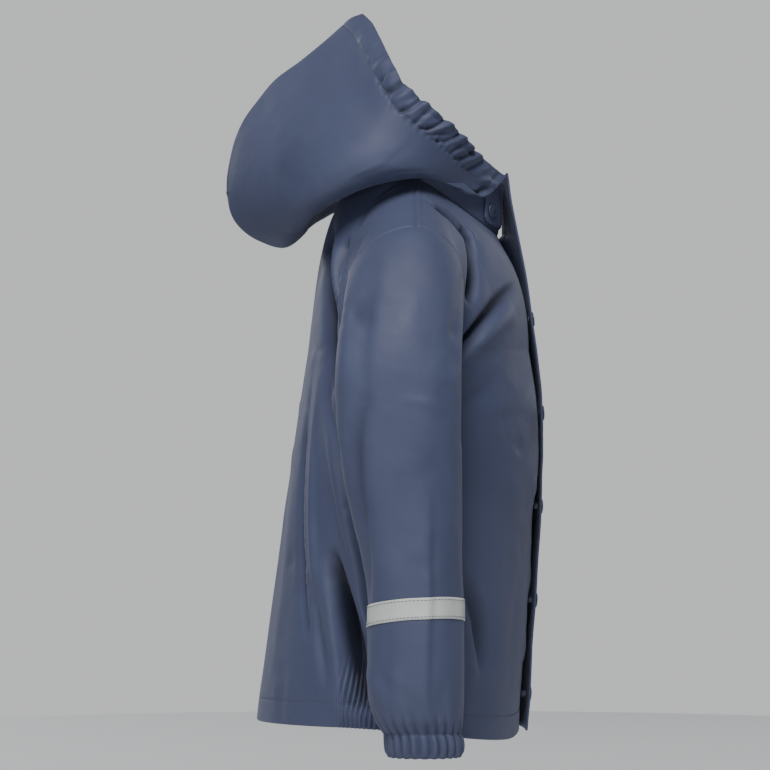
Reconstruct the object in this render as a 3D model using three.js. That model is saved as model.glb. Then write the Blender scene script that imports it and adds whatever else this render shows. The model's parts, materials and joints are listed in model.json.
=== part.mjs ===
import * as THREE from 'three';

// Kids' hooded raincoat of coated cloth, about size 104, filled out as if it were worn.
// Millimetres, +Z up. The front faces -Y and the wearer's right is -X. The origin is the
// middle of the neck base at the height of the side neck points, where a wearer holds it.

// Cloth and seams
const WALL = 2;
const THIN_WALL = 1;
const SEAM_GAP = 0.3;
const HALF_GAP = SEAM_GAP / 2;
const CENTRE_GAP = 0.5;
const HEM_DEPTH = 20;

// Grid sizes
const HEM_ROWS = 8;
const CHEST_ROWS = 11;
const BODY_COLUMNS = 12;
const SHOULDER_START = 0.5;

// Body: centre front, centre back, half width and side seam, by height
const BODY_RINGS = [
  { z: -500, front: -84.0, back: 153.0, half: 150, side: 30 },
  { z: -460, front: -85.5, back: 149.0, half: 150, side: 30 },
  { z: -388, front: -91.0, back: 138.0, half: 150, side: 28 },
  { z: -337, front: -94.0, back: 130.5, half: 150, side: 27 },
  { z: -296, front: -96.5, back: 126.0, half: 150, side: 26 },
  { z: -262, front: -101.0, back: 121.5, half: 150, side: 25 },
  { z: -235, front: -102.0, back: 118.0, half: 150, side: 24 },
  { z: -195, front: -100.0, back: 112.0, half: 149, side: 23 },
  { z: -150, front: -93.0, back: 105.0, half: 148, side: 22 },
];
const SECTION_POWER = 2.3;
const ARMPIT_Z = -150;

// Hem height round the coat, from a centre line (0) to the side seam (1)
const FRONT_HEM = [
  { s: 0, z: -487 },
  { s: 0.25, z: -491 },
  { s: 0.5, z: -488 },
  { s: 0.8, z: -481 },
  { s: 1, z: -476 },
];
const BACK_HEM = [
  { s: 0, z: -480 },
  { s: 0.4, z: -475.5 },
  { s: 0.8, z: -474 },
  { s: 1, z: -476 },
];

// Neckline and shoulder
const NECK_HALF = 62;
const NECK_Y = 10;
const NECK_Z = 2;
const FRONT_NECK = { y: -66, z: -47 };
const BACK_NECK = { y: 50, z: 5 };
const SHOULDER_TIP = { x: 148, y: 10, z: -45 };

// How the cloth leaves the armpit level (low) and reaches the neckline or shoulder (high),
// as pulls in Y and Z, from a centre line (0) past the neck point (0.5) to the armhole (1)
const CHEST_PULLS = [
  { s: 0, lowY: 0, lowZ: 220, highY: 0, highZ: 60 },
  { s: 0.5, lowY: 0, lowZ: 200, highY: 90, highZ: 25 },
  { s: 0.8, lowY: -50, lowZ: 130, highY: 130, highZ: 20 },
  { s: 1, lowY: -220, lowZ: 40, highY: 160, highZ: 10 },
];
const BACK_PULLS = [
  { s: 0, lowY: -20, lowZ: 150, highY: -130, highZ: 20 },
  { s: 0.5, lowY: 0, lowZ: 150, highY: -150, highZ: 15 },
  { s: 0.8, lowY: 80, lowZ: 110, highY: -170, highZ: 10 },
  { s: 1, lowY: 250, lowZ: 40, highY: -190, highZ: 5 },
];

// Largest folds of a half front and a half back: across is the distance from the centre
// line round towards the side, height is Z, and push is how far the cloth moves outward
const FOLD_SPAN = 210;
const FRONT_FOLDS = [
  { across: 186, height: -62, toAcross: 196, toHeight: -118, push: 6, width: 14 },
  { across: 70, height: -112, toAcross: 172, toHeight: -158, push: -4, width: 13 },
  { across: 90, height: -150, toAcross: 170, toHeight: -190, push: 4, width: 16 },
  { across: 20, height: -190, toAcross: 60, toHeight: -235, push: -2.5, width: 15 },
];
const BACK_FOLDS = [
  { across: 128, height: -58, toAcross: 140, toHeight: -175, push: -6, width: 13 },
  { across: 108, height: -60, toAcross: 112, toHeight: -140, push: 3.5, width: 12 },
  { across: 75, height: -175, toAcross: 92, toHeight: -420, push: -3.5, width: 11 },
  { across: 62, height: -180, toAcross: 60, toHeight: -400, push: 2.5, width: 11 },
  { across: 128, height: -215, toAcross: 168, toHeight: -390, push: 4.5, width: 14 },
  { across: 120, height: -330, toAcross: 182, toHeight: -462, push: -7, width: 15 },
];

// Gathers of the elastic back hem, at both side ends of it
const HEM_GATHERS = 12;
const HEM_GATHER_START = 0.74;
const HEM_GATHER_PUSH = 1.6;
const GATHER_COLUMNS = 3;
const PLAIN_HEM_COLUMNS = 7;
const HEM_BULGE = 1;

// Sleeve sections down to the cuff, and the tilt that lifts their outer side
const SLEEVE_SHIFT = 0.4;
const SLEEVE_RINGS = [
  { z: -185, front: -29, back: 79, middle: 189, half: 32, tilt: 4 },
  { z: -225, front: -29, back: 77, middle: 190, half: 33, tilt: 5 },
  { z: -263, front: -29, back: 70.6, middle: 191, half: 34, tilt: 6 },
  { z: -297, front: -29, back: 63, middle: 192, half: 35, tilt: 6 },
  { z: -332, front: -29, back: 54.5, middle: 193, half: 36, tilt: 6 },
  { z: -362, front: -30.4, back: 50.8, middle: 193, half: 36, tilt: 6.5 },
  { z: -385, front: -30.6, back: 50.8, middle: 193, half: 36, tilt: 6.5 },
  { z: -420, front: -30.8, back: 50.8, middle: 193, half: 36, tilt: 5 },
  { z: -446, front: -30.6, back: 50, middle: 192, half: 36, tilt: 4 },
  { z: -464, front: -29.5, back: 44, middle: 191, half: 33.5, tilt: 3 },
  { z: -474.5, front: -27.5, back: 38, middle: 190, half: 29, tilt: 2 },
];
const SLEEVE_MIDDLE_Z = -300;
const SLEEVE_HEAD_ROWS = 6;
const SLEEVE_POWER = 2.2;
const HEAD_PULL = { out: 59, outSwing: 50, down: 44, downSwing: -12, back: 10 };
const HEAD_END_PULL = 0.9;
const SLEEVE_FOLD_SPAN = 36;
const SLEEVE_FOLDS = [
  { across: 8, height: -250, toAcross: 8, toHeight: -440, push: 2.5, width: 12 },
  { across: -30, height: -100, toAcross: -26, toHeight: -230, push: -4, width: 12 },
  { across: -27, height: -240, toAcross: -36, toHeight: -330, push: -3, width: 12 },
  { across: -10, height: -95, toAcross: -6, toHeight: -170, push: 2, width: 13 },
  { across: -20, height: -385, toAcross: -22, toHeight: -440, push: -2, width: 12 },
];
const STRIP_ROW = 5;
const STRIP_EDGE = 0.12;
const STRIP_SLANT = 0.12;

// Elastic cuff
const CUFF_PLEATS = 24;
const CUFF_COLUMNS = 3;
const CUFF_PUSH = 1.5;
const CUFF_RINGS = [
  { z: -475, front: -27.5, back: 37, middle: 190, half: 29, tilt: 2, push: 0.4 },
  { z: -484, front: -30, back: 36, middle: 190, half: 30, tilt: 1.5, push: 1 },
  { z: -494, front: -28, back: 33.5, middle: 190, half: 28.5, tilt: 1, push: 0.7 },
];

// Stand collar
const COLLAR_RISE = { front: 52, side: 42, back: 38 };
const COLLAR_LEAN = 3;
const COLLAR_LIFT = 0.4;
const COLLAR_COLUMNS = 24;
const COLLAR_ROWS = 3;

// Hood: its four edge curves, from the throat, and how far the cloth bulges between them
const HOOD_THROAT = [-27, -72, 5];
const HOOD_TIP = [0, 57, 154];
const HOOD_REAR = [0, 179, -8];
const HOOD_LOWER_FREE = [HOOD_THROAT, [-46, -52, -14], [-58, -39, -9], [-66, -25, 3], [-67, -10, 9]];
const HOOD_SEAT = { angles: [-10, -30, -50, -70, -90], rise: 14, spread: 1.02 };
const HOOD_FACE = [
  HOOD_THROAT, [-47, -54, 17], [-80, -31, 39], [-98, -5, 60], [-98, 17.5, 79], [-82, 29.5, 100],
  [-54, 39.5, 123], [-24, 48.5, 143], HOOD_TIP,
];
const HOOD_CROWN = [
  HOOD_TIP, [0, 69, 148], [0, 90, 130], [0, 112, 112], [0, 136, 94], [0, 151, 76],
  [0, 164, 58], [0, 172, 40], [0, 176.5, 22], [0, 179, 5], HOOD_REAR,
];
const HOOD_DROOP = [
  [0, 72, 4], [0, 85, -9], [0, 97, -27], [0, 109, -46], [0, 126, -58],
  [0, 150, -52], [0, 166, -41], [0, 175, -28], HOOD_REAR,
];
const HOOD_BULGES = [
  { skewUp: 1, skewBack: 1, x: -22, y: 0, z: -8 },
  { skewUp: 0.43, skewBack: 2.2, x: -12, y: 4, z: -21 },
];
const HOOD_ROWS = 24;
const HOOD_COLUMNS = 10;
const HOOD_SAMPLES = 20;
const CASING_WIDTH = 20;
const CASING_LARGEST_SHARE = 0.33;
const CASING_SPLITS = 2;
const CASING_COLUMNS = 2;
const CASING_GATHERS = 11;
const CASING_GATHER_START = 0.14;
const CASING_GATHER_END = 0.86;
const CASING_PUSH = 2.4;

// Throat tab of the hood, on the collar
const TAB_START = 54;
const TAB_END = 84;
const TAB_DROP = { start: 2, end: 6 };
const TAB_TOP = 46;
const TAB_ROUND = 3;
const TAB_SQUARENESS = 6;
const TAB_STAND = 0.6;
const TAB_COLUMNS = 8;
const TAB_ROWS = 4;

// Storm flap over the centre front: the outer face by height
const FLAP_LINE = [
  { z: -489, y: -91.5 },
  { z: -446, y: -94.5 },
  { z: -410, y: -96 },
  { z: -374, y: -99 },
  { z: -338, y: -101 },
  { z: -302, y: -103.5 },
  { z: -266, y: -104.6 },
  { z: -230, y: -105.5 },
  { z: -194, y: -104.5 },
  { z: -158, y: -101 },
  { z: -122, y: -96 },
  { z: -86, y: -91 },
  { z: -50, y: -84 },
  { z: -14, y: -77 },
  { z: 8, y: -74 },
];
const FLAP_HALF = 24;
const FLAP_ROWS = 24;
const FLAP_COLUMNS = 5;
const FLAP_SEWN_GAP = 0.7;

// Press studs
const STUD_PROFILE = [[0, 0], [6.5, 0], [6.5, 0.9], [5.2, 1.5], [3.6, 1.2], [0, 1.7]];
const STUD_SIDES = 12;
const CAP_GAP = 0.4;
const POST_RADIUS = 3.5;
const POST_GAP = 0.75;
const FLAP_STUD_X = -9;
const FLAP_STUD_TOP = -122;
const FLAP_STUD_STEP = 84;
const FLAP_STUDS = 5;
const TAB_STUD = { angle: 61, rise: 15 };

const NAVY = 0x4a5470;
const CLOTH = new THREE.MeshStandardMaterial({ color: NAVY, roughness: 0.45, metalness: 0 });
const REFLECTOR = new THREE.MeshStandardMaterial({ color: 0xc6c6c2, roughness: 0.35, metalness: 0.1 });
const STUD = new THREE.MeshStandardMaterial({ color: 0x3c4763, roughness: 0.3, metalness: 0.2 });

const coat = new THREE.Group();
const vector = (x, y, z) => new THREE.Vector3(x, y, z);
const mix = THREE.MathUtils.lerp;

// A smooth value from a table whose rows rise by the column named key
function lookUp(table, key, at, column) {
  const last = table.length - 1;
  let i = 0;
  while (i < last - 1 && at > table[i + 1][key]) i += 1;
  const slope = (k) => {
    const low = table[Math.max(k - 1, 0)];
    const high = table[Math.min(k + 1, last)];
    return (high[column] - low[column]) / (high[key] - low[key]);
  };
  const step = table[i + 1][key] - table[i][key];
  const t = THREE.MathUtils.clamp((at - table[i][key]) / step, 0, 1);
  return hermite(table[i][column], slope(i) * step, table[i + 1][column], slope(i + 1) * step, t);
}

// A cubic from start to end that leaves and arrives with the given pulls
function hermite(start, startPull, end, endPull, t) {
  const t2 = t * t;
  const t3 = t2 * t;
  return start * (2 * t3 - 3 * t2 + 1) + startPull * (t3 - 2 * t2 + t)
    + end * (3 * t2 - 2 * t3) + endPull * (t3 - t2);
}

function hermitePoint(start, startPull, end, endPull, t) {
  return vector(
    hermite(start.x, startPull.x, end.x, endPull.x, t),
    hermite(start.y, startPull.y, end.y, endPull.y, t),
    hermite(start.z, startPull.z, end.z, endPull.z, t),
  );
}

function smoothCurve(rows) {
  return new THREE.CatmullRomCurve3(rows.map((row) => vector(...row)), false, 'centripetal');
}

// Indices of a grid's quads, each split along the same diagonal
function gridFaces(rows, columns, wrap, place) {
  const faces = [];
  const spans = wrap ? columns : columns - 1;
  for (let r = 0; r < rows - 1; r += 1) {
    for (let c = 0; c < spans; c += 1) {
      const next = (c + 1) % columns;
      faces.push([place(r, c), place(r, next), place(r + 1, next)]);
      faces.push([place(r, c), place(r + 1, next), place(r + 1, c)]);
    }
  }
  return faces;
}

function geometryOf(points, faces) {
  const geometry = new THREE.BufferGeometry();
  geometry.setFromPoints(points);
  geometry.setIndex(faces.flat());
  return geometry;
}

// A sheet is a grid of points with the outward direction at each one; centre is inside it
function makeSheet(points, centre, wrap = false) {
  const rows = points.length;
  const columns = points[0].length;
  const geometry = geometryOf(points.flat(), gridFaces(rows, columns, wrap, (r, c) => r * columns + c));
  geometry.computeVertexNormals();
  const found = geometry.getAttribute('normal');
  let facing = 0;
  const outward = points.map((row, r) => row.map((point, c) => {
    const normal = new THREE.Vector3().fromBufferAttribute(found, r * columns + c);
    facing += normal.dot(point.clone().sub(centre));
    return normal;
  }));
  if (facing < 0) outward.flat().forEach((normal) => normal.negate());
  return { points, outward, wrap };
}

function sheetFrom(rows, columns, place, centre) {
  const points = [];
  for (let r = 0; r <= rows; r += 1) {
    const row = [];
    for (let c = 0; c <= columns; c += 1) row.push(place(c / columns, r / rows));
    points.push(row);
  }
  return makeSheet(points, centre);
}

// Two sheets that meet share one outward direction where they meet
function shareOutward(first, second) {
  first.forEach((normal, i) => {
    normal.add(second[i]).normalize();
    second[i].copy(normal);
  });
}

const columnOf = (grid, c) => grid.map((row) => row.at(c));

function cut(sheet, rows, columns) {
  const part = (grid) => grid.slice(...rows).map((row) => row.slice(...columns).map((p) => p.clone()));
  return { points: part(sheet.points), outward: part(sheet.outward), wrap: false };
}

// Moves a sheet's points outward by push(row, column)
function raise(sheet, push) {
  sheet.points.forEach((row, r) => row.forEach((point, c) => {
    point.addScaledVector(sheet.outward[r][c], push(r, c));
  }));
  return sheet;
}

// Draws a sheet's edges in by the gap that each seam leaves
function trim(sheet, { low = 0, high = 0, first = 0, last = 0 }) {
  const { points } = sheet;
  const draw = (point, inner, gap) => point.add(inner.clone().sub(point).setLength(gap));
  if (low) points[0].forEach((point, c) => draw(point, points[1][c], low));
  if (high) points.at(-1).forEach((point, c) => draw(point, points.at(-2)[c], high));
  points.forEach((row) => {
    if (first) draw(row[0], row[1], first);
    if (last) draw(row.at(-1), row.at(-2), last);
  });
  return sheet;
}

// A closed wall: the sheet, the same sheet moved inward, and the rims between them
function wallGeometry(sheet, thickness) {
  const { points, outward, wrap } = sheet;
  const rows = points.length;
  const columns = points[0].length;
  const count = rows * columns;
  const outer = points.flat();
  const inner = outer.map((point, i) => point.clone().addScaledVector(outward.flat()[i], -thickness));
  const outside = (r, c) => r * columns + c;
  const inside = (r, c) => count + outside(r, c);
  const faces = gridFaces(rows, columns, wrap, outside);
  gridFaces(rows, columns, wrap, inside).forEach(([a, b, c]) => faces.push([a, c, b]));
  const rim = (length, place, turned) => {
    for (let i = 0; i < length; i += 1) {
      const [r0, c0] = place(i);
      const [r1, c1] = place(i + 1);
      const corners = [outside(r0, c0), outside(r1, c1), inside(r1, c1), inside(r0, c0)];
      if (turned) corners.reverse();
      faces.push([corners[0], corners[2], corners[1]], [corners[0], corners[3], corners[2]]);
    }
  };
  const across = wrap ? columns : columns - 1;
  rim(across, (i) => [0, i % columns], false);
  rim(across, (i) => [rows - 1, i % columns], true);
  if (!wrap) {
    rim(rows - 1, (i) => [i, 0], true);
    rim(rows - 1, (i) => [i, columns - 1], false);
  }
  return facingOut(geometryOf([...outer, ...inner], faces));
}

// Turns the faces over where they enclose a negative volume
function facingOut(geometry) {
  const place = geometry.getAttribute('position');
  const index = geometry.getIndex().array;
  const corner = (i) => new THREE.Vector3().fromBufferAttribute(place, index[i]);
  let volume = 0;
  for (let i = 0; i < index.length; i += 3) {
    volume += corner(i).dot(corner(i + 1).cross(corner(i + 2)));
  }
  if (volume < 0) {
    for (let i = 0; i < index.length; i += 3) [index[i], index[i + 1]] = [index[i + 1], index[i]];
  }
  geometry.computeVertexNormals();
  return geometry;
}

function add(name, geometry, material) {
  const mesh = new THREE.Mesh(geometry, material);
  mesh.name = name;
  coat.add(mesh);
  return mesh;
}

const addWall = (name, sheet, thickness = WALL, material = CLOTH) => (
  add(name, wallGeometry(sheet, thickness), material)
);

// The same sheet on the wearer's left
function mirrored(sheet) {
  const flip = (grid) => grid.map((row) => row.map((p) => vector(-p.x, p.y, p.z)));
  return { points: flip(sheet.points), outward: flip(sheet.outward), wrap: sheet.wrap };
}

function addPair(name, sheet, thickness, material) {
  addWall(`${name}_right`, sheet, thickness, material);
  addWall(`${name}_left`, mirrored(sheet), thickness, material);
}

// How far the folds move the cloth at a place in the flat of a panel
function foldPush(folds, across, height) {
  return folds.reduce((sum, fold) => {
    const runAcross = fold.toAcross - fold.across;
    const runHeight = fold.toHeight - fold.height;
    const run = runAcross ** 2 + runHeight ** 2;
    const t = ((across - fold.across) * runAcross + (height - fold.height) * runHeight) / run;
    const near = THREE.MathUtils.clamp(t, 0, 1);
    const offAcross = across - fold.across - near * runAcross;
    const offHeight = height - fold.height - near * runHeight;
    return sum + fold.push * Math.exp(-(offAcross ** 2 + offHeight ** 2) / fold.width ** 2);
  }, 0);
}

// A quarter of a body section on the right: s runs from the centre line to the side seam
function bodyQuarter(end, s, z) {
  const half = lookUp(BODY_RINGS, 'z', z, 'half');
  const middle = lookUp(BODY_RINGS, 'z', z, end);
  const side = lookUp(BODY_RINGS, 'z', z, 'side');
  const angle = s * Math.PI / 2;
  const power = 2 / SECTION_POWER;
  return vector(
    -half * Math.sin(angle) ** power,
    side + (middle - side) * Math.max(Math.cos(angle), 0) ** power,
    z,
  );
}

// The neckline from the centre front or back (0) to the side neck point (1)
function neckline(end, t) {
  const angle = (1 - t) * Math.PI / 2;
  const reach = Math.sin(angle);
  return vector(
    -NECK_HALF * Math.cos(angle),
    NECK_Y + (end.y - NECK_Y) * reach,
    NECK_Z + (end.z - NECK_Z) * reach,
  );
}

function bodyTop(end, s) {
  if (s < SHOULDER_START) return neckline(end, s / SHOULDER_START);
  const t = (s - SHOULDER_START) / (1 - SHOULDER_START);
  return vector(
    -mix(NECK_HALF, SHOULDER_TIP.x, t),
    mix(NECK_Y, SHOULDER_TIP.y, t),
    mix(NECK_Z, SHOULDER_TIP.z, t),
  );
}

// One body panel on the right: rows run from the hem to the armpit and on to the top
function bodySheet(end, neck, hem, hemDepth, pulls) {
  const rows = [];
  const rowAt = (place) => {
    const row = [];
    for (let c = 0; c <= BODY_COLUMNS; c += 1) row.push(place(c / BODY_COLUMNS));
    rows.push(row);
  };
  for (let r = 0; r < HEM_ROWS; r += 1) {
    rowAt((s) => bodyQuarter(end, s, mix(lookUp(hem, 's', s, 'z') + hemDepth, ARMPIT_Z, r / HEM_ROWS)));
  }
  for (let r = 0; r <= CHEST_ROWS; r += 1) {
    rowAt((s) => {
      const pull = (name) => lookUp(pulls, 's', s, name);
      return hermitePoint(
        bodyQuarter(end, s, ARMPIT_Z),
        vector(0, pull('lowY'), pull('lowZ')),
        bodyTop(neck, s),
        vector(0, pull('highY'), pull('highZ')),
        r / CHEST_ROWS,
      );
    });
  }
  return makeSheet(rows, vector(0, NECK_Y, ARMPIT_Z));
}

function foldPanel(sheet, folds) {
  const last = sheet.points[0].length - 1;
  return raise(sheet, (r, c) => {
    const inside = c > 0 && c < last && r < sheet.points.length - 1;
    return inside ? foldPush(folds, c / last * FOLD_SPAN, sheet.points[r][c].z) : 0;
  });
}

// Body panels
const front = bodySheet('front', FRONT_NECK, FRONT_HEM, 0, CHEST_PULLS);
const back = bodySheet('back', BACK_NECK, BACK_HEM, HEM_DEPTH, BACK_PULLS);
const sideSeam = [0, HEM_ROWS + 1];
shareOutward(
  columnOf(front.outward, -1).slice(...sideSeam),
  columnOf(back.outward, -1).slice(...sideSeam),
);
const shoulderColumn = BODY_COLUMNS * SHOULDER_START;
shareOutward(front.outward.at(-1).slice(shoulderColumn), back.outward.at(-1).slice(shoulderColumn));
[front, back].forEach((panel) => {
  columnOf(panel.outward, -1).slice(HEM_ROWS).forEach((normal) => {
    normal.setX(Math.min(normal.x, 0)).normalize();
  });
});
const armhole = [
  ...columnOf(front.points, -1).slice(HEM_ROWS).reverse(),
  ...columnOf(back.points, -1).slice(HEM_ROWS + 1, -1),
].map((point) => point.clone());

foldPanel(front, FRONT_FOLDS);
foldPanel(back, BACK_FOLDS);
const bothBacks = {
  points: back.points.map((row, r) => [...row.slice(1).reverse(), ...mirrored(back).points[r]]),
  outward: back.outward.map((row, r) => [...row.slice(1).reverse(), ...mirrored(back).outward[r]]),
  wrap: false,
};
const backSheet = cut(bothBacks, [0], [0]);
addPair('front', trim(cut(front, [0], [0]), { high: HALF_GAP, first: CENTRE_GAP, last: HALF_GAP }));
addWall('back', trim(backSheet, { low: HALF_GAP, high: HALF_GAP, first: HALF_GAP, last: HALF_GAP }));

// Back hem with its gathered ends
function hemSheet() {
  const stops = [];
  for (let c = 0; c < PLAIN_HEM_COLUMNS; c += 1) stops.push(c / PLAIN_HEM_COLUMNS * HEM_GATHER_START);
  const gathered = HEM_GATHERS * GATHER_COLUMNS;
  for (let c = 0; c <= gathered; c += 1) stops.push(mix(HEM_GATHER_START, 1, c / gathered));
  const line = [...stops.slice(1).reverse().map((s) => -s), ...stops];
  const wave = (s) => {
    const t = (Math.abs(s) - HEM_GATHER_START) / (1 - HEM_GATHER_START);
    return t <= 0 ? 0 : -Math.sin(t * HEM_GATHERS * 2 * Math.PI) * HEM_GATHER_PUSH;
  };
  const rowAt = (rise) => line.map((s) => {
    const point = bodyQuarter('back', Math.abs(s), lookUp(BACK_HEM, 's', Math.abs(s), 'z') + rise);
    if (s < 0) point.x = -point.x;
    return point;
  });
  const rises = [0, HEM_DEPTH / 2, HEM_DEPTH];
  const sheet = makeSheet(rises.map(rowAt), vector(0, NECK_Y, BACK_HEM[0].z));
  const bulges = [0, HEM_BULGE];
  return raise(sheet, (r, c) => {
    const atEnd = c === 0 || c === line.length - 1;
    return atEnd || r >= bulges.length ? 0 : wave(line[c]) + bulges[r];
  });
}
addWall('back_hem', trim(hemSheet(), { high: HALF_GAP, first: HALF_GAP, last: HALF_GAP }));

// A point of a sleeve section: angle 0 is the outer side, then the front, the body, the back
function sleevePoint(ring, angle) {
  const power = 2 / SLEEVE_POWER;
  const out = Math.sign(Math.cos(angle)) * Math.abs(Math.cos(angle)) ** power;
  const fore = Math.sign(Math.sin(angle)) * Math.abs(Math.sin(angle)) ** power;
  const centre = (ring.front + ring.back) / 2;
  return vector(
    -ring.middle - ring.half * out,
    centre + (ring.front - centre) * fore,
    ring.z + ring.tilt * Math.cos(angle),
  );
}

function sleeveSheet() {
  const angles = armhole.map((_, k) => k / armhole.length * 2 * Math.PI);
  const rows = [];
  for (let r = 0; r < SLEEVE_HEAD_ROWS; r += 1) {
    rows.push(angles.map((angle, k) => {
      const start = armhole[k].clone().setX(armhole[k].x - SLEEVE_SHIFT);
      const end = sleevePoint(SLEEVE_RINGS[0], angle);
      const startPull = vector(
        -(HEAD_PULL.out + HEAD_PULL.outSwing * Math.cos(angle)),
        HEAD_PULL.back * Math.max(-Math.sin(angle), 0),
        -(HEAD_PULL.down + HEAD_PULL.downSwing * Math.cos(angle)),
      );
      const endPull = vector(0, 0, (end.z - start.z) * HEAD_END_PULL);
      return hermitePoint(start, startPull, end, endPull, r / SLEEVE_HEAD_ROWS);
    }));
  }
  SLEEVE_RINGS.forEach((ring) => rows.push(angles.map((angle) => sleevePoint(ring, angle))));
  const sheet = makeSheet(rows, vector(-SLEEVE_RINGS[0].middle, NECK_Y, SLEEVE_MIDDLE_Z), true);
  sheet.outward[0].forEach((normal) => normal.setX(Math.max(normal.x, 0)).normalize());
  return raise(sheet, (r, c) => {
    const turn = angles[c] > Math.PI ? angles[c] - 2 * Math.PI : angles[c];
    const seam = r === 0 || r === rows.length - 1;
    return seam ? 0 : foldPush(SLEEVE_FOLDS, turn * SLEEVE_FOLD_SPAN, sheet.points[r][c].z);
  });
}

// Reflective strip: made from the sleeve's own points between two of its rings, moved out.
// It slants: its front lies higher than its back.
function stripSheet(sleeve) {
  const low = SLEEVE_HEAD_ROWS + STRIP_ROW;
  const count = sleeve.points[low].length;
  const slant = (c) => STRIP_SLANT * Math.sin(c / count * 2 * Math.PI);
  const between = (grid, t) => (
    grid[low].map((p, c) => p.clone().lerp(grid[low + 1][c], t - slant(c)))
  );
  const rows = [STRIP_EDGE, 1 - STRIP_EDGE];
  const strip = {
    points: rows.map((t) => between(sleeve.points, t)),
    outward: rows.map((t) => between(sleeve.outward, t).map((normal) => normal.normalize())),
    wrap: true,
  };
  return raise(strip, () => THIN_WALL + SEAM_GAP);
}

function cuffSheet() {
  const count = CUFF_PLEATS * CUFF_COLUMNS;
  const angles = Array.from({ length: count }, (_, c) => c / count * 2 * Math.PI);
  const rows = CUFF_RINGS.map((ring) => angles.map((angle) => sleevePoint(ring, angle)));
  const sheet = makeSheet(rows, vector(-CUFF_RINGS[0].middle, 0, CUFF_RINGS[1].z), true);
  return raise(sheet, (r, c) => CUFF_RINGS[r].push * CUFF_PUSH * Math.cos(CUFF_PLEATS * angles[c]));
}

const sleeve = sleeveSheet();
addPair('sleeve', sleeve);
addPair('reflective_strip', stripSheet(sleeve), THIN_WALL, REFLECTOR);
addPair('cuff', cuffSheet());

// Stand collar: angle -90 is the centre back, 0 the side neck point and 90 the centre front
function collarPoint(angle, rise) {
  const turn = THREE.MathUtils.degToRad(angle);
  const end = angle > 0 ? FRONT_NECK : BACK_NECK;
  const base = neckline(end, 1 - Math.abs(angle) / 90);
  const lean = COLLAR_LEAN * Math.sin(turn) * rise;
  return base.add(vector(0, -lean, COLLAR_LIFT + rise * collarRise(angle)));
}

function collarRise(angle) {
  const share = Math.sin(THREE.MathUtils.degToRad(Math.abs(angle)));
  return mix(COLLAR_RISE.side, angle > 0 ? COLLAR_RISE.front : COLLAR_RISE.back, share);
}

function collarSheet() {
  const rows = [];
  const half = COLLAR_COLUMNS / 2;
  for (let r = 0; r <= COLLAR_ROWS; r += 1) {
    const row = [];
    for (let c = -half; c <= half; c += 1) {
      const point = collarPoint(90 - 180 * (half - Math.abs(c)) / half, r / COLLAR_ROWS);
      if (c > 0) point.x = -point.x;
      row.push(point);
    }
    rows.push(row);
  }
  return makeSheet(rows, vector(0, NECK_Y, 0));
}
addWall('collar', trim(collarSheet(), { first: CENTRE_GAP, last: CENTRE_GAP }));

// Where the lower edge of the hood lies against the outside of the collar
function hoodSeat(angle) {
  const point = collarPoint(angle, HOOD_SEAT.rise / collarRise(angle));
  return [point.x * HOOD_SEAT.spread, NECK_Y + (point.y - NECK_Y) * HOOD_SEAT.spread, point.z];
}

// Hood half: a patch between its four edges, with the cloth bulging out between them
function hoodSheet() {
  const seat = HOOD_SEAT.angles.map(hoodSeat);
  const nape = seat.at(-1);
  const lower = smoothCurve([...HOOD_LOWER_FREE, ...seat]);
  const face = smoothCurve(HOOD_FACE);
  const crown = smoothCurve(HOOD_CROWN);
  const droop = smoothCurve([nape, ...HOOD_DROOP]);
  const patch = (a, b) => {
    const point = lower.getPointAt(a).multiplyScalar(1 - b)
      .addScaledVector(crown.getPointAt(a), b)
      .addScaledVector(face.getPointAt(b), 1 - a)
      .addScaledVector(droop.getPointAt(b), a)
      .addScaledVector(vector(...HOOD_THROAT), -(1 - a) * (1 - b))
      .addScaledVector(vector(...nape), -a * (1 - b))
      .addScaledVector(vector(...HOOD_TIP), -(1 - a) * b)
      .addScaledVector(vector(...HOOD_REAR), -a * b);
    HOOD_BULGES.forEach(({ skewUp, skewBack, x, y, z }) => {
      const share = Math.sin(Math.PI * a ** skewBack) * Math.sin(Math.PI * b ** skewUp);
      point.addScaledVector(vector(x, y, z), share);
    });
    return point;
  };
  const rows = [];
  const fine = HOOD_ROWS * CASING_SPLITS;
  for (let r = 0; r <= fine; r += 1) {
    const line = new THREE.CatmullRomCurve3();
    for (let i = 0; i <= HOOD_SAMPLES; i += 1) line.points.push(patch(i / HOOD_SAMPLES, r / fine));
    const casing = Math.min(CASING_WIDTH / line.getLength(), CASING_LARGEST_SHARE);
    const row = [];
    for (let c = 0; c < CASING_COLUMNS; c += 1) row.push(line.getPointAt(casing * c / CASING_COLUMNS));
    for (let c = 0; c <= HOOD_COLUMNS; c += 1) row.push(line.getPointAt(mix(casing, 1, c / HOOD_COLUMNS)));
    rows.push(row);
  }
  const sheet = makeSheet(rows, vector(0, BACK_NECK.y, 0));
  const onSeam = [...columnOf(sheet.outward, -1), ...sheet.outward.at(-1)];
  onSeam.forEach((normal) => normal.setX(0).normalize());
  return sheet;
}

const hoodHalf = hoodSheet();
const hoodPanel = cut(hoodHalf, [0], [CASING_COLUMNS]);
const everySecond = (grid) => grid.filter((_, r) => r % CASING_SPLITS === 0);
hoodPanel.points = everySecond(hoodPanel.points);
hoodPanel.outward = everySecond(hoodPanel.outward);
addPair('hood', trim(hoodPanel, { high: HALF_GAP, first: HALF_GAP, last: HALF_GAP }));

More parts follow.
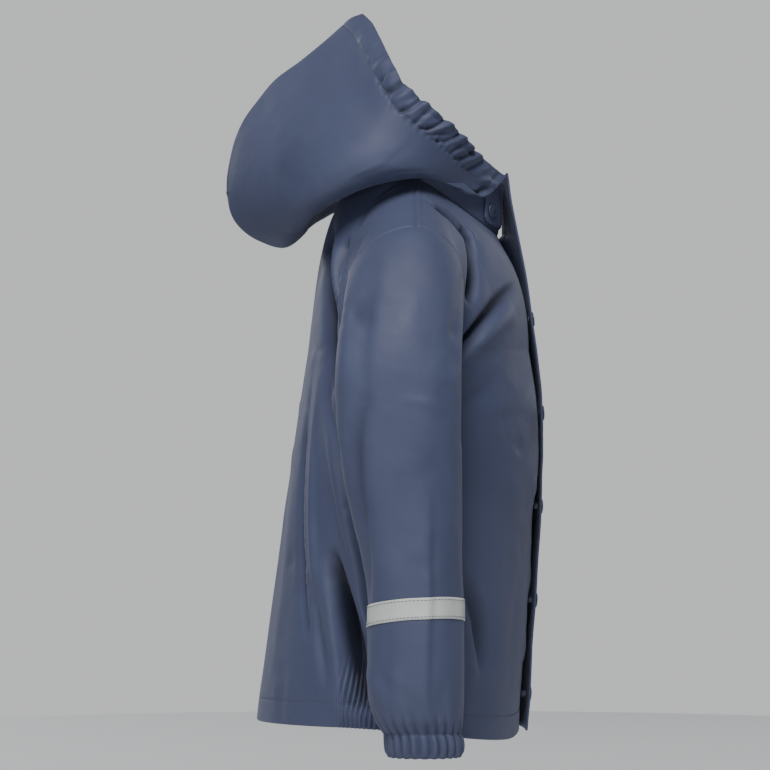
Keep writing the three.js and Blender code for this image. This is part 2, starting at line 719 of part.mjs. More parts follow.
// Gathered casing along the face edge of the hood
function casingSheet() {
  const sheet = cut(hoodHalf, [0], [0, CASING_COLUMNS + 1]);
  const fine = HOOD_ROWS * CASING_SPLITS;
  sheet.points.forEach((row, r) => {
    if (r % CASING_SPLITS === 0) return;
    const below = sheet.points[r - 1][CASING_COLUMNS];
    const above = sheet.points[r + 1][CASING_COLUMNS];
    row[CASING_COLUMNS].lerpVectors(below, above, 0.5);
  });
  return raise(sheet, (r, c) => {
    const t = (r / fine - CASING_GATHER_START) / (CASING_GATHER_END - CASING_GATHER_START);
    if (t <= 0 || t >= 1 || c === CASING_COLUMNS) return 0;
    return CASING_PUSH * Math.sin(t * CASING_GATHERS * 2 * Math.PI);
  });
}
addPair('hood_hem', trim(casingSheet(), { high: HALF_GAP, last: HALF_GAP }));

// Throat tab: it lies on the collar's own points, moved out
function tabSheet() {
  const rows = [];
  for (let r = 0; r <= TAB_ROWS; r += 1) {
    const row = [];
    for (let c = 0; c <= TAB_COLUMNS; c += 1) {
      const t = c / TAB_COLUMNS;
      const corner = TAB_ROUND * (1 - Math.sqrt(1 - (2 * t - 1) ** TAB_SQUARENESS));
      const angle = mix(TAB_START, TAB_END, t);
      const drop = mix(TAB_DROP.start, TAB_DROP.end, t);
      const rise = mix(drop + corner, TAB_TOP, r / TAB_ROWS);
      row.push(collarPoint(angle, rise / collarRise(angle)));
    }
    rows.push(row);
  }
  const sheet = makeSheet(rows, vector(0, NECK_Y, 0));
  return raise(sheet, () => WALL + TAB_STAND);
}
addPair('hood_tab', tabSheet());

// Storm flap: sewn to the left front, with its free edge standing off the right front
function flapFace(x, z) {
  const across = (x + FLAP_HALF) / (2 * FLAP_HALF);
  const free = lookUp(FLAP_LINE, 'z', z, 'y');
  const slope = frontLine(z + 1) - frontLine(z);
  const sewn = frontLine(z) - (WALL + FLAP_SEWN_GAP) * Math.hypot(1, slope);
  return Math.min(mix(free, sewn, across ** 2), sewn);
}

// The point of the flap's face at a place, and the outward direction there
function flapPlace(x, z) {
  const face = vector(x, flapFace(x, z), z);
  const alongX = vector(x + 1, flapFace(x + 1, z), z).sub(face);
  const alongZ = vector(x, flapFace(x, z + 1), z + 1).sub(face);
  return { face, outward: alongX.cross(alongZ).normalize() };
}

function flapSheet() {
  const low = FLAP_LINE[0].z;
  const high = FLAP_LINE.at(-1).z;
  return sheetFrom(FLAP_ROWS, FLAP_COLUMNS, (across, up) => {
    const z = mix(low, high, up);
    const x = mix(-FLAP_HALF, FLAP_HALF, across);
    return vector(x, flapFace(x, z), z);
  }, vector(0, NECK_Y, ARMPIT_Z));
}

// Y of the centre front of the panel or the collar, whichever is at that height
function frontLine(z) {
  if (z < ARMPIT_Z) return lookUp(BODY_RINGS, 'z', z, 'front');
  const column = columnOf(front.points, 0).filter((point) => point.z >= ARMPIT_Z);
  const above = column.findIndex((point) => point.z > z);
  if (above < 1) return FRONT_NECK.y - COLLAR_LEAN;
  const t = (z - column[above - 1].z) / (column[above].z - column[above - 1].z);
  return mix(column[above - 1].y, column[above].y, t);
}
const flap = flapSheet();
addWall('storm_flap', flap);

// A press stud cap standing on a face
function addCap(name, place, outward) {
  const profile = STUD_PROFILE.map(([radius, rise]) => new THREE.Vector2(radius, rise));
  const mesh = add(name, new THREE.LatheGeometry(profile, STUD_SIDES), STUD);
  mesh.position.copy(place).addScaledVector(outward, CAP_GAP);
  mesh.quaternion.setFromUnitVectors(vector(0, 1, 0), outward);
}

const TAB_STUD_RISE = TAB_STUD.rise / collarRise(TAB_STUD.angle);
const tabStudPlace = collarPoint(TAB_STUD.angle, TAB_STUD_RISE);
const tabStudOutward = collarPoint(TAB_STUD.angle + 1, TAB_STUD_RISE).sub(tabStudPlace)
  .cross(vector(0, 0, 1)).normalize();
tabStudPlace.addScaledVector(tabStudOutward, WALL + TAB_STAND);
addCap('tab_stud_right', tabStudPlace, tabStudOutward);
addCap(
  'tab_stud_left',
  vector(-tabStudPlace.x, tabStudPlace.y, tabStudPlace.z),
  vector(-tabStudOutward.x, tabStudOutward.y, tabStudOutward.z),
);

// Press studs down the flap: a cap on its face and a post between it and the right front
for (let i = 0; i < FLAP_STUDS; i += 1) {
  const z = FLAP_STUD_TOP - i * FLAP_STUD_STEP;
  const { face, outward } = flapPlace(FLAP_STUD_X, z);
  addCap(`flap_stud_${i + 1}`, face, outward);
  const near = frontLine(z) - POST_GAP;
  const far = face.y + WALL + POST_GAP;
  const shaft = new THREE.CylinderGeometry(POST_RADIUS, POST_RADIUS, near - far, STUD_SIDES);
  add(`stud_post_${i + 1}`, shaft, STUD).position.set(FLAP_STUD_X, (near + far) / 2, z);
}

export default coat;
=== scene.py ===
import json
import math
import bpy
import numpy as np
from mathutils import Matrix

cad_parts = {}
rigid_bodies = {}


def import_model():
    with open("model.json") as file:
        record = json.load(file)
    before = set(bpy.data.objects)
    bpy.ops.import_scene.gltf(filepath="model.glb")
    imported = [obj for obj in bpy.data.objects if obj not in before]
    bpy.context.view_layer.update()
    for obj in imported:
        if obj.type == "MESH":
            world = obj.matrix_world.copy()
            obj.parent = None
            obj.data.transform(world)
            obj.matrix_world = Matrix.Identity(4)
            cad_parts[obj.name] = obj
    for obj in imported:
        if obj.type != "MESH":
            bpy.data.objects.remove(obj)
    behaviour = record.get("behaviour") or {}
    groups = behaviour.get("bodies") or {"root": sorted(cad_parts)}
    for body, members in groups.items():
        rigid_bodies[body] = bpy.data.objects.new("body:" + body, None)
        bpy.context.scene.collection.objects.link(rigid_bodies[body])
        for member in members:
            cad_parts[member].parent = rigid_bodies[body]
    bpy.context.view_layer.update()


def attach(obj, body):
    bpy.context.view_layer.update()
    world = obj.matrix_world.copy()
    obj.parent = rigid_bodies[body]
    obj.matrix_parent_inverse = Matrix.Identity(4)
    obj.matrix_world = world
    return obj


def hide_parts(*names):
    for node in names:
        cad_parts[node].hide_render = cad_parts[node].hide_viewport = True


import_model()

# Kids' hooded raincoat of coated cloth, filled out as if it were worn.
# Tables and sizes are in millimetres and meshes in metres: MM turns one into the other.
# The front faces -Y, the wearer's right is -X and the origin is the middle of the neck base.
MM = 0.001
RIGHT, LEFT = "right", "left"
BODY = "root"

# Camera: level with the coat's middle, on the wearer's right
CAMERA_AT = (-3000.0, 36.0, -180.9)
CAMERA_LENS = 155.8
SENSOR = 36.0
FLOOR_Z = -640.0
FLOOR_RADIUS = 1700.0
FLOOR_SIDES = 96

# Cloth, seams and stitches
WALL = 1.6
TAPE_WALL = 0.9
TURNED_WALL = 2.0
ROUNDING = 0.45
GRID_STEP = 2.6
LINE_STEPS = (-1.6, -0.7, 0.0, 0.7, 1.6)
STOP_ROOM = 0.5
HEM_DEPTH = 20.0
SEAM_DIP, SEAM_WIDTH = 0.9, 1.4
GROOVE_DIP, GROOVE_WIDTH = 0.45, 0.9
STITCH_LENGTH, STITCH_PITCH, STITCH_RADIUS = 2.3, 3.2, 0.3
STITCH_SIDES, STITCH_LIFT = 5, 0.1
# Shape of one stitch: the share of its half length and of its radius
STITCH_SHAPE = ((-1.0, 0.0), (-0.55, 1.0), (0.55, 1.0), (1.0, 0.0))
# Stitch lines are drawn in steps of half a grid cell
LINE_STEP = 0.5
SEED = 11
# Painted shade in the creases: each point of cloth keeps how deep it lies in a fold, and the cloth's colour
# is darkened by it. The darkening is fullest where the push inward reaches the deepest value below, and the
# smaller value serves the hood and the gathers of the hem and cuff
PAINTED_SHADE_ATTRIBUTE = "painted_crease_shade"
BODY_DEEPEST, CASING_DEEPEST = 11.0, 4.0
# Folds fade out over these spans: beside an edge, a seam and the centre front
EDGE_FADE, SEAM_FADE, FRONT_FADE = 10.0, 8.0, 14.0
# Small uneven creases between the folds: how many and how far they push
BODY_CRUMPLE, COLLAR_CRUMPLE, HOOD_CRUMPLE, CASING_CRUMPLE = 0.8, 0.35, 0.4, 1.3
FRONT_CRUMPLES, BACK_CRUMPLES, SLEEVE_CRUMPLES = 90, 150, 110
COLLAR_CRUMPLES, HOOD_CRUMPLES, CASING_CRUMPLES, FLAP_CRUMPLES = 40, 90, 150, 60
CRUMPLE_LENGTHS, CRUMPLE_WIDTHS, CRUMPLE_BOW, CRUMPLE_LEAN = (15, 60), (4, 10), 6, 0.4
FLIP = np.array((-1.0, 1.0, 1.0))


def columns_of(names, rows):
    """Rows of numbers as one array for each named column."""
    return {name: np.array(values, float) for name, values in zip(names.split(), zip(*rows))}


def table(names, text):
    """A short table, one row to a line, as one array for each named column."""
    return columns_of(names, [line.split() for line in text.strip().splitlines()])


# Body: centre front, centre back, half width and side seam, by height
BODY_RINGS = table("z front back half side", """
    -500 -84.0 153.0 150 30
    -460 -85.5 149.0 150 30
    -388 -91.0 138.0 150 28
    -337 -94.0 130.5 150 27
    -296 -96.5 126.0 150 26
    -262 -101.0 121.5 150 25
    -235 -102.0 118.0 150 24
    -195 -100.0 112.0 149 23
    -150 -93.0 105.0 148 22
""")
SECTION_POWER = 2.3
ARMPIT_Z = -150.0

# Hem height round the coat, from a centre line (0) to the side seam (1)
FRONT_HEM = columns_of("s z", [(0, -487), (0.25, -491), (0.5, -488), (0.8, -481), (1, -476)])
BACK_HEM = columns_of("s z", [(0, -480), (0.4, -475.5), (0.8, -474), (1, -476)])
HEM_SPAN = 335.0
CHEST_SPAN = 190.0

# Neckline and shoulder
NECK_HALF, NECK_Y, NECK_Z = 62.0, 10.0, 2.0
FRONT_NECK = {"y": -66.0, "z": -47.0}
BACK_NECK = {"y": 50.0, "z": 5.0}
SHOULDER_TIP = np.array((-148.0, 10.0, -45.0))
SHOULDER_START = 0.5

# Pulls of the cloth between the armpit level (low) and the neckline or shoulder (high)
CHEST_PULLS = table("s low_y low_z high_y high_z", """
    0 0 220 0 60
    0.5 0 200 90 25
    0.8 -50 130 130 20
    1 -220 40 160 10
""")
BACK_PULLS = table("s low_y low_z high_y high_z", """
    0 -20 150 -130 20
    0.5 0 150 -150 15
    0.8 80 110 -170 10
    1 250 40 -190 5
""")

# Sleeve sections from the elastic cuff up, and the tilt that lifts their outer side
SLEEVE_RINGS = table("z front back middle half tilt", """
    -494 -28.0 33.5 190 28.5 1
    -490 -29.6 35.2 190 29.6 1.2
    -484 -30.2 36.0 190 30.2 1.5
    -478 -29.0 36.4 190 29.4 1.8
    -474.5 -27.5 37.2 190 28.8 2
    -471 -28.2 39.5 190.3 30 2.2
    -464 -29.5 44.0 191 33.5 3
    -446 -30.6 50.0 192 36 4
    -420 -30.8 50.8 193 36 5
    -385 -30.6 50.8 193 36 6.5
    -362 -30.4 50.8 193 36 6.5
    -332 -29.0 54.5 193 36 6
    -297 -29.0 63.0 192 35 6
    -263 -29.0 70.6 191 34 6
    -225 -29.0 77.0 190 33 5
    -185 -29.0 79.0 189 32 4
""")
SLEEVE_TOP_Z, CUFF_LOW_Z, CUFF_LINE_Z = -185.0, -494.0, -474.5
SLEEVE_MIDDLE = (-190.0, 15.0, -300.0)
SLEEVE_SHIFT = 0.4
SLEEVE_POWER = 2.2
SLEEVE_HEAD_SPAN = 130.0
SLEEVE_ROUND = 2 * math.pi * 36.0
HEAD_PULL = {"out": 59.0, "out_swing": 50.0, "down": 44.0, "down_swing": -12.0, "back": 10.0}
HEAD_END_PULL = 0.9
SLEEVE_COLUMNS = 150
CUFF_PLEATS = 24
CUFF_PUSH, CUFF_SWAY, CUFF_RISE, CUFF_ABOVE = 3.2, 0.6, 14.0, 0.8
CUFF_LEAST, CUFF_FADE, LIP_LEAST, LIP_FADE, CUFF_TOP_Z = 0.45, 6.0, 0.5, 4.0, -400.0
# Gathers and pleats have wide crests and narrow gaps
GAP_SHARPNESS, GAP_LEVEL = 4, 0.35

# Reflective strip round the sleeve, by the ring heights of its two edges
STRIP_LOW_Z, STRIP_HIGH_Z = -382.2, -364.8
STRIP_LIFT = 0.9
STRIP_SLANT = 2.8
STRIP_ROWS, STRIP_STITCH_ROWS = 9, (0.8, 7.2)

# Stand collar
COLLAR_RISE = {"front": 52.0, "side": 42.0, "back": 38.0}
COLLAR_LEAN = 3.0
COLLAR_LIFT = 0.4
COLLAR_HEIGHT, COLLAR_STITCH, COLLAR_STEP = 46.0, 40.0, 2.0

# Hood: its four edge curves, from the throat, and how far the cloth bulges between them
HOOD_THROAT = (-27, -72, 5)
HOOD_TIP = (0, 57, 154)
HOOD_REAR = (0, 179, -8)
HOOD_LOWER_FREE = [HOOD_THROAT, (-46, -52, -14), (-58, -39, -9), (-66, -25, 3), (-67, -10, 9)]
HOOD_SEAT = {"angles": (-10, -30, -50, -70, -90), "rise": 14.0, "spread": 1.02}
HOOD_FACE = [
    HOOD_THROAT, (-47, -54, 17), (-80, -31, 39), (-98, -5, 60), (-98, 17.5, 79), (-82, 29.5, 100),
    (-54, 39.5, 123), (-24, 48.5, 143), HOOD_TIP,
]
HOOD_CROWN = [
    HOOD_TIP, (0, 69, 148), (0, 90, 130), (0, 112, 112), (0, 136, 94), (0, 151, 76),
    (0, 164, 58), (0, 172, 40), (0, 176.5, 22), (0, 179, 5), HOOD_REAR,
]
HOOD_DROOP = [
    (0, 72, 4), (0, 85, -9), (0, 97, -27), (0, 109, -46), (0, 126, -58),
    (0, 150, -52), (0, 166, -41), (0, 175, -28), HOOD_REAR,
]
HOOD_BULGES = columns_of("skew_up skew_back x y z", [(1, 1, -22, 0, -8), (0.43, 2.2, -12, 4, -21)])
HOOD_MIDDLE = (0.0, 50.0, 0.0)
HOOD_ROWS, HOOD_SAMPLES = 190, 60
HOOD_HEIGHT, HOOD_DEPTH = 200.0, 180.0
CASING_WIDTH, CASING_LARGEST_SHARE = 20.0, 0.33

# Throat tab of the hood, on the collar
TAB_START, TAB_END = 54.0, 84.0
TAB_DROP_START, TAB_DROP_END, TAB_TOP = 2.0, 6.0, 46.0
TAB_ROUND, TAB_SQUARENESS = 3.0, 6
TAB_STAND = 2.6
TAB_SPAN, TAB_STEP, TAB_ROW, TAB_SAMPLES = 32.0, 1.2, 0.04, 40

# Storm flap over the centre front: the outer face of its free edge, by height
FLAP_LINE = columns_of("z y", [
    (-489, -91.5), (-446, -94.5), (-410, -96), (-374, -99), (-338, -101), (-302, -103.5),
    (-266, -104.6), (-230, -105.5), (-194, -104.5), (-158, -101), (-122, -96), (-86, -91),
    (-50, -84), (-14, -77), (8, -74),
])
FLAP_HALF = 24.0
FLAP_STAND = 2.7
FLAP_LENGTH = 500.0

# Press studs
STUD_PROFILE = [
    (0, 0), (6.3, 0), (6.5, 0.25), (6.5, 0.75), (6.2, 1.1), (5.7, 1.35), (5.2, 1.45), (4.8, 1.3),
    (4.5, 1.1), (4.1, 1.15), (3.4, 1.5), (2.4, 1.72), (1.2, 1.8), (0, 1.82),
]
STUD_TURNS = 40
CAP_GAP = 0.4
TAB_STUD = {"angle": 61.0, "rise": 15.0, "stand": 2.6}
FLAP_STUD_X, FLAP_STUD_TOP, FLAP_STUD_STEP, FLAP_STUDS = -9.0, -122.0, 84.0, 5

# Folds in the flat of a piece, in millimetres. A fold runs from across, height to to_across,
# to_height with a bow sideways, and moves the cloth out by push. Its width is larger on one
# side by the share lean, and start and end are its strengths at its two ends.
FOLD_COLUMNS = "across height to_across to_height bow push width lean start end"
FRONT_FOLDS = table(FOLD_COLUMNS, """
    146 -27 115 -50 3 -17 5 0.2 0.2 0.8
    109 -52 146 -102 2 -26 7 0.2 0.8 0.3
    140 -22 104 -46 2 4 3.6 0 0.5 0.6
    96 -49 132 -100 2 4 3.6 0 0.6 0.2
    52 -94 162 -152 -9 -9 6.5 0.3 0.1 1.3
    66 -114 178 -176 -9 6 10 0.1 0 0.5
    100 -168 188 -196 6 -2.5 10 0.2 0 0.8
    56 -186 28 -232 4 3 14 0 0 0
    20 -190 66 -250 6 -2.5 12 0.2 0 0
    150 -346 120 -436 6 -10 10 0.3 0.2 0
    176 -230 158 -356 5 -2.5 11 0.2 0.3 0.2
    92 -256 74 -372 6 1.8 14 0.2 0 0
    62 -330 70 -452 -5 -1.6 12 0.2 0 0.2
    134 -404 146 -476 4 2.2 11 0.1 0 0.4
    18 -300 24 -420 3 1.4 12 0.1 0 0
""")
BACK_FOLDS = table(FOLD_COLUMNS, """
    42 -54 116 -178 -8 -13 12 0.2 0.6 0.4
    66 -58 122 -156 -8 6 6 0 0.3 0.1
    92 -60 116 -150 -2 -13 7 0.1 0.6 0.2
    112 -64 132 -140 -2 4 5 0.1 0.4 0.1
    100 -74 122 -114 0 -4 6 0.1 0.3 0
    102 -176 142 -232 3 -4.5 6.5 0.3 0.1 0
    114 -208 192 -392 -6 9 8.5 -0.2 0.1 0.7
    138 -320 190 -448 -7 -27 9 0.3 0 0.4
    152 -322 204 -440 -6 7 6 0 0.1 0.3
    124 -330 168 -470 -7 4.5 7 0.1 0 0.6
    66 -177 122 -404 12 -9 5 0.3 0.1 0.1
    84 -176 134 -404 4 4.5 6 0.1 0.1 0.1
    111 -340 150 -444 -3 -5 5.5 0.2 0.1 0.2
    128 -392 162 -462 3 2.6 8 0.1 0 0.4
    160 -64 150 -150 4 -3 9 0.2 0.5 0
    30 -150 26 -330 5 -2 10 0.2 0 0
    48 -240 62 -440 -4 2.2 12 0.1 0 0.3
    12 -260 14 -420 3 1.8 12 0 0 0.2
    84 -420 92 -474 2 -2 8 0.1 0 0.4
    40 -70 20 -130 4 -2 10 0.2 0.2 0
""")
SLEEVE_FOLDS = table(FOLD_COLUMNS, """
    -18 -72 -17 -200 3 -2 6.5 0.3 0.1 0.5
    -20 -196 -33 -292 2 -5 8 0.3 0.4 0.4
    -32 -290 -50 -374 -2 -2.4 7 0.3 0.5 0
    4 -96 6 -176 2 1.6 9 0 0 0
    14 -268 6 -462 2 3.2 6 0.5 0.1 0.3
    32 -300 30 -430 -3 -2 9 0.3 0 0.2
    44 -96 40 -180 4 -2.5 8 0.2 0.4 0
    26 -150 16 -236 4 1.8 9 0.1 0 0
    -44 -96 -38 -190 -3 2.6 8 0.1 0.3 0
    -60 -130 -54 -260 4 -3 9 0.2 0.2 0
    66 -140 58 -250 -4 -3 9 0.2 0.3 0
    -62 -58 -58 -136 2 -8 13 0.1 0.3 0.1
    104 -156 60 -196 4 -4 8 0.2 0.6 0
    -106 -160 -66 -210 -4 -4 8 0.2 0.6 0
    84 -230 74 -340 3 2 10 0.1 0 0
    -86 -250 -80 -380 3 2 10 0.1 0 0
    -20 -388 -24 -448 2 -2 8 0.2 0.2 0
    -4 -420 0 -468 1 -1.6 6 0.2 0 0.5
    22 -424 18 -468 1 -1.6 6 0.2 0 0.5
""")
HOOD_FOLDS = table(FOLD_COLUMNS, """
    52 22 150 34 8 -1.4 16 0.2 0.4 0
    60 60 168 74 10 1.2 22 0 0 0
    90 150 168 120 -6 -1.2 18 0.2 0 0.4
    40 140 120 176 -6 1.0 18 0 0 0
    22 8 46 13 2 -3.2 3.6 0.3 0.8 0.1
    20 2 44 5 1 1.8 4.5 0 0.6 0.2
    150 20 196 70 -5 -2.2 12 0.2 0.3 0.4
""")

# Wrinkles of the elastic casing of the hood: across is the depth from the face edge, and
# height the distance along it from the throat
CASING_FOLDS = table(FOLD_COLUMNS, """
    2 8 20 11 1 -1.8 3.0 0.2 0.6 0.9
    2 22 20 28 1 1.4 4.0 0 0.8 0.6
    2 30 22 38 1 -2.6 2.2 0.2 0.6 1
    0 36 20 48 -1 2.2 3.4 0 1 0.6
    0 43 22 57 2 -3.6 2.2 0.3 0.7 1
    4 44 12 62 -2 -2.4 1.9 0.2 0.8 0.3
    0 50 20 64 0 2.6 3.2 0 1 0.5
    6 60 23 66 1 -3.2 2.0 0.2 0.4 1
    0 62 18 74 -1 3.0 3.4 0 1.2 0.5
    0 68 22 84 3 -4.4 2.3 0.3 0.8 1
    9 68 20 78 -2 2.0 2.4 0 0.4 0.8
    7 74 23 92 -2 -3.2 1.8 0.2 0.2 1.1
    0 80 14 92 0 3.2 3.4 0 1.2 0.4
    12 84 22 97 1 2.2 2.6 0 0.4 0.8
    0 87 22 101 3 -4.2 2.2 0.3 0.8 1.1
    3 92 12 106 -2 -2.6 1.8 0.2 0.7 0.3
    0 96 20 108 0 2.6 3.2 0 1 0.6
    4 102 24 108 1 -3.4 2.1 0.2 0.5 1
    0 106 16 116 -1 3.0 3.6 0 1.3 0.4
    0 112 22 124 3 -4.2 2.3 0.3 0.8 1.1
    10 110 23 118 1 2.2 2.6 0 0.3 0.8
    0 122 20 132 0 3.0 3.6 0 1.2 0.5
    4 124 22 134 -2 -3.0 2.0 0.2 0.4 1
    0 134 22 147 3 -3.4 2.6 0.3 0.9 1
    0 143 16 152 0 2.2 3.8 0 1 0.4
    6 150 22 157 1 -2.4 2.4 0.2 0.4 1
    0 160 18 168 0 1.4 4.4 0 0.9 0.4
    4 172 20 178 1 -1.6 3.6 0.2 0.4 0.7
    0 190 18 194 1 1.0 5.0 0 0.6 0.4
""")
FACE_LENGTH = 245.0
PUCKER_START, PUCKER_END, PUCKER_PITCH = 24.0, 160.0, 6.3
PUCKER_PUSH, PUCKER_REACH = 0.45, 3.5
SCALLOP_DEPTH, SCALLOP_SHARE = 4.0, 0.26
CASING_STRETCH = 1.6
CASING_SWELL = {"push": 1.2, "width": 7.5}

# Gathers of the elastic back hem: from this share of the panel to the side seam
HEM_GATHERS = 12
HEM_GATHER_START = 0.77
HEM_GATHER_PUSH = 4.4
GATHER_STEP, SMOOTH_STEP = 1.0, 3.0
HEM_GATHER_RISE = 26.0
GATHER_SWAY, GATHER_FADE, GATHER_SWELL, GATHER_SWELL_WIDTH = 0.6, 1 / 6, 1.0, 7.0
BACK_SPAN = 210.0


def hermite(start, start_pull, end, end_pull, t):
    """A cubic from start to end that leaves and arrives with the given pulls."""
    return (start * (2 * t**3 - 3 * t**2 + 1) + start_pull * (t**3 - 2 * t**2 + t)
            + end * (3 * t**2 - 2 * t**3) + end_pull * (t**3 - t**2))


def mix(low, high, t):
    return low + (high - low) * t


def fade(distance, span):
    """Rises from 0 to 1 over a span."""
    return np.clip(distance / span, 0, 1)


def look_up(rows, key, at, column):
    """A smooth value from a table whose rows rise by the column named key."""
    keys, values = rows[key], rows[column]
    slopes = np.empty_like(values)
    slopes[1:-1] = (values[2:] - values[:-2]) / (keys[2:] - keys[:-2])
    slopes[0] = (values[1] - values[0]) / (keys[1] - keys[0])
    slopes[-1] = (values[-1] - values[-2]) / (keys[-1] - keys[-2])
    at = np.asarray(at, float)
    i = np.clip(np.searchsorted(keys, at) - 1, 0, len(keys) - 2)
    step = keys[i + 1] - keys[i]
    t = np.clip((at - keys[i]) / step, 0, 1)
    return hermite(values[i], slopes[i] * step, values[i + 1], slopes[i + 1] * step, t)


def point(x, y, z):
    """Points from numbers or arrays of one shape."""
    return np.stack(np.broadcast_arrays(*(np.asarray(v, float) for v in (x, y, z))), axis=-1)


def unit(vectors):
    return vectors / np.maximum(np.linalg.norm(vectors, axis=-1, keepdims=True), 1e-9)


def stops(length, lines=(), step=GRID_STEP):
    """Places along a length, evenly spaced and closer together round each line."""
    even = np.linspace(0, length, max(int(round(length / step)), 2) + 1)
    close = [line + offset for line in lines for offset in LINE_STEPS]
    close = [value for value in close if 0 <= value <= length]
    even = [value for value in even if all(abs(value - other) > STOP_ROOM for other in close)]
    ends = [value for value in (0.0, length) if value not in close]
    return np.array(sorted(set(close) | set(even) | set(ends)))


def ridge(distance, push, width):
    """A soft ridge, or trough where push is negative, at a distance from its line."""
    return push * np.exp(-(distance / width) ** 2)


def fold_push(folds, across, height, round_length=None):
    """How far the folds move the cloth at places in the flat of a piece."""
    total = np.zeros(np.broadcast(across, height).shape)
    for row in zip(*(folds[name] for name in FOLD_COLUMNS.split())):
        start_across, start_height, end_across, end_height, bow, push, width, lean, start, end = row
        run = np.array((end_across - start_across, end_height - start_height))
        length = np.hypot(*run)
        off_across = across - start_across
        if round_length:
            off_across = (off_across + round_length / 2) % round_length - round_length / 2
        off_height = height - start_height
        along = (off_across * run[0] + off_height * run[1]) / length
        beside = (off_across * run[1] - off_height * run[0]) / length
        t = np.clip(along / length, 0, 1)
        past = np.maximum(np.maximum(-along, along - length), 0)
        beside = beside - bow * 4 * t * (1 - t)
        side_width = width * np.where(beside > 0, 1 + lean, 1 - lean)
        strength = start * (1 - t) ** 2 + end * t**2 + 3 * t * (1 - t)
        total += push * strength * np.exp(-(beside / side_width) ** 2 - (past / width) ** 2)
    return total


def crumple(across, height, count, push, seed, round_length=None):
    """Many small uneven creases, for the cloth between the main folds."""
    chance = np.random.default_rng(seed)
    low = np.array((np.min(across), np.min(height)))
    high = np.array((np.max(across), np.max(height)))
    rows = []
    for _ in range(count):
        start = mix(low, high, chance.random(2))
        turn = chance.uniform(0, math.pi)
        length = chance.uniform(*CRUMPLE_LENGTHS)
        end = start + length * np.array((math.cos(turn), math.sin(turn)))
        width = chance.uniform(*CRUMPLE_WIDTHS)
        rows.append((*start, *end, chance.uniform(-CRUMPLE_BOW, CRUMPLE_BOW), chance.normal(0, push),
                     width, chance.uniform(-CRUMPLE_LEAN, CRUMPLE_LEAN), 0, 0))
    return fold_push(columns_of(FOLD_COLUMNS, rows), across, height, round_length)


def reach(points, axis):
    """The distance along a grid of points from its first row or column."""
    steps = np.linalg.norm(np.diff(points, axis=axis), axis=-1)
    return np.concatenate([np.zeros_like(np.take(steps, [0], axis)), np.cumsum(steps, axis)], axis)


class Sheet:
    """A grid of points of cloth, with the outward direction at each one."""

    def __init__(self, points, middle, wrap=False):
        self.points = points
        self.middle = np.array(middle, float)
        self.wrap = wrap
        # How deep each point lies in a fold, for the painted shade in the creases
        self.depth = np.zeros(points.shape[:2])
        self.face()

    def face(self):
        along = np.gradient(self.points, axis=0)
        if self.wrap:
            around = np.roll(self.points, -1, 1) - np.roll(self.points, 1, 1)
        else:
            around = np.gradient(self.points, axis=1)
        outward = unit(np.cross(around, along))
        if np.sum(outward * (self.points - self.middle)) < 0:
            outward = -outward
        self.outward = outward

    def raise_by(self, push):
        self.points = self.points + self.outward * np.asarray(push)[..., None]
        self.face()
        return self

    def shade(self, push, deepest):
        """Notes how deep each point lies in a fold, 1 where it is pushed in by deepest: the mask by which
        painted shade darkens the cloth's colour in its creases.
        """
        self.depth = np.clip(-push / deepest, 0, 1)

    def mirrored(self):
        sheet = Sheet(self.points * FLIP, self.middle * FLIP, self.wrap)
        sheet.depth = self.depth
        return sheet

    def near(self, row, column):
        """The point and outward direction at a fractional row and column."""
        rows, columns = self.points.shape[:2]
        r = np.clip(np.asarray(row, float), 0, rows - 1.001)
        c = np.asarray(column, float)
        r0 = np.floor(r).astype(int)
        if self.wrap:
            c = c % columns
            c0 = np.floor(c).astype(int) % columns
            c1 = (c0 + 1) % columns
        else:
            c = np.clip(c, 0, columns - 1.001)
            c0 = np.floor(c).astype(int)
            c1 = c0 + 1
        fr, fc = (r - r0)[..., None], (c - np.floor(c))[..., None]

        def blend(grid):
            return mix(mix(grid[r0, c0], grid[r0, c1], fc), mix(grid[r0 + 1, c0], grid[r0 + 1, c1], fc), fr)
        return blend(self.points), unit(blend(self.outward))


# Body panels

def body_quarter(end, s, z):
    """A quarter of a body section on the right: s runs from the centre line to the side seam."""
    half = look_up(BODY_RINGS, "z", z, "half")
    middle = look_up(BODY_RINGS, "z", z, end)
    side = look_up(BODY_RINGS, "z", z, "side")
    angle = s * math.pi / 2
    power = 2 / SECTION_POWER
    fore = np.maximum(np.cos(angle), 0) ** power
    return point(-half * np.sin(angle) ** power, side + (middle - side) * fore, z)


def neckline(neck, t):
    """The neckline from the centre front or back (0) to the side neck point (1)."""
    angle = (1 - t) * math.pi / 2
    fore = np.sin(angle)
    return point(-NECK_HALF * np.cos(angle), mix(NECK_Y, neck["y"], fore), mix(NECK_Z, neck["z"], fore))


def body_top(neck, s):
    on_neck = neckline(neck, np.clip(s / SHOULDER_START, 0, 1))
    t = np.clip((s - SHOULDER_START) / (1 - SHOULDER_START), 0, 1)[..., None]
    on_shoulder = mix(np.array((-NECK_HALF, NECK_Y, NECK_Z)), SHOULDER_TIP, t)
    return np.where((s < SHOULDER_START)[..., None], on_neck, on_shoulder)


def chest_points(end, neck, pulls, s, t):
    """The panel between the armpit level (t 0) and its top edge (t 1)."""
    s, t = np.broadcast_arrays(np.asarray(s, float), np.asarray(t, float))

    def pull(edge):
        return point(0, look_up(pulls, "s", s, edge + "_y"), look_up(pulls, "s", s, edge + "_z"))
    return hermite(body_quarter(end, s, ARMPIT_Z), pull("low"), body_top(neck, s), pull("high"),
                   t[..., None])


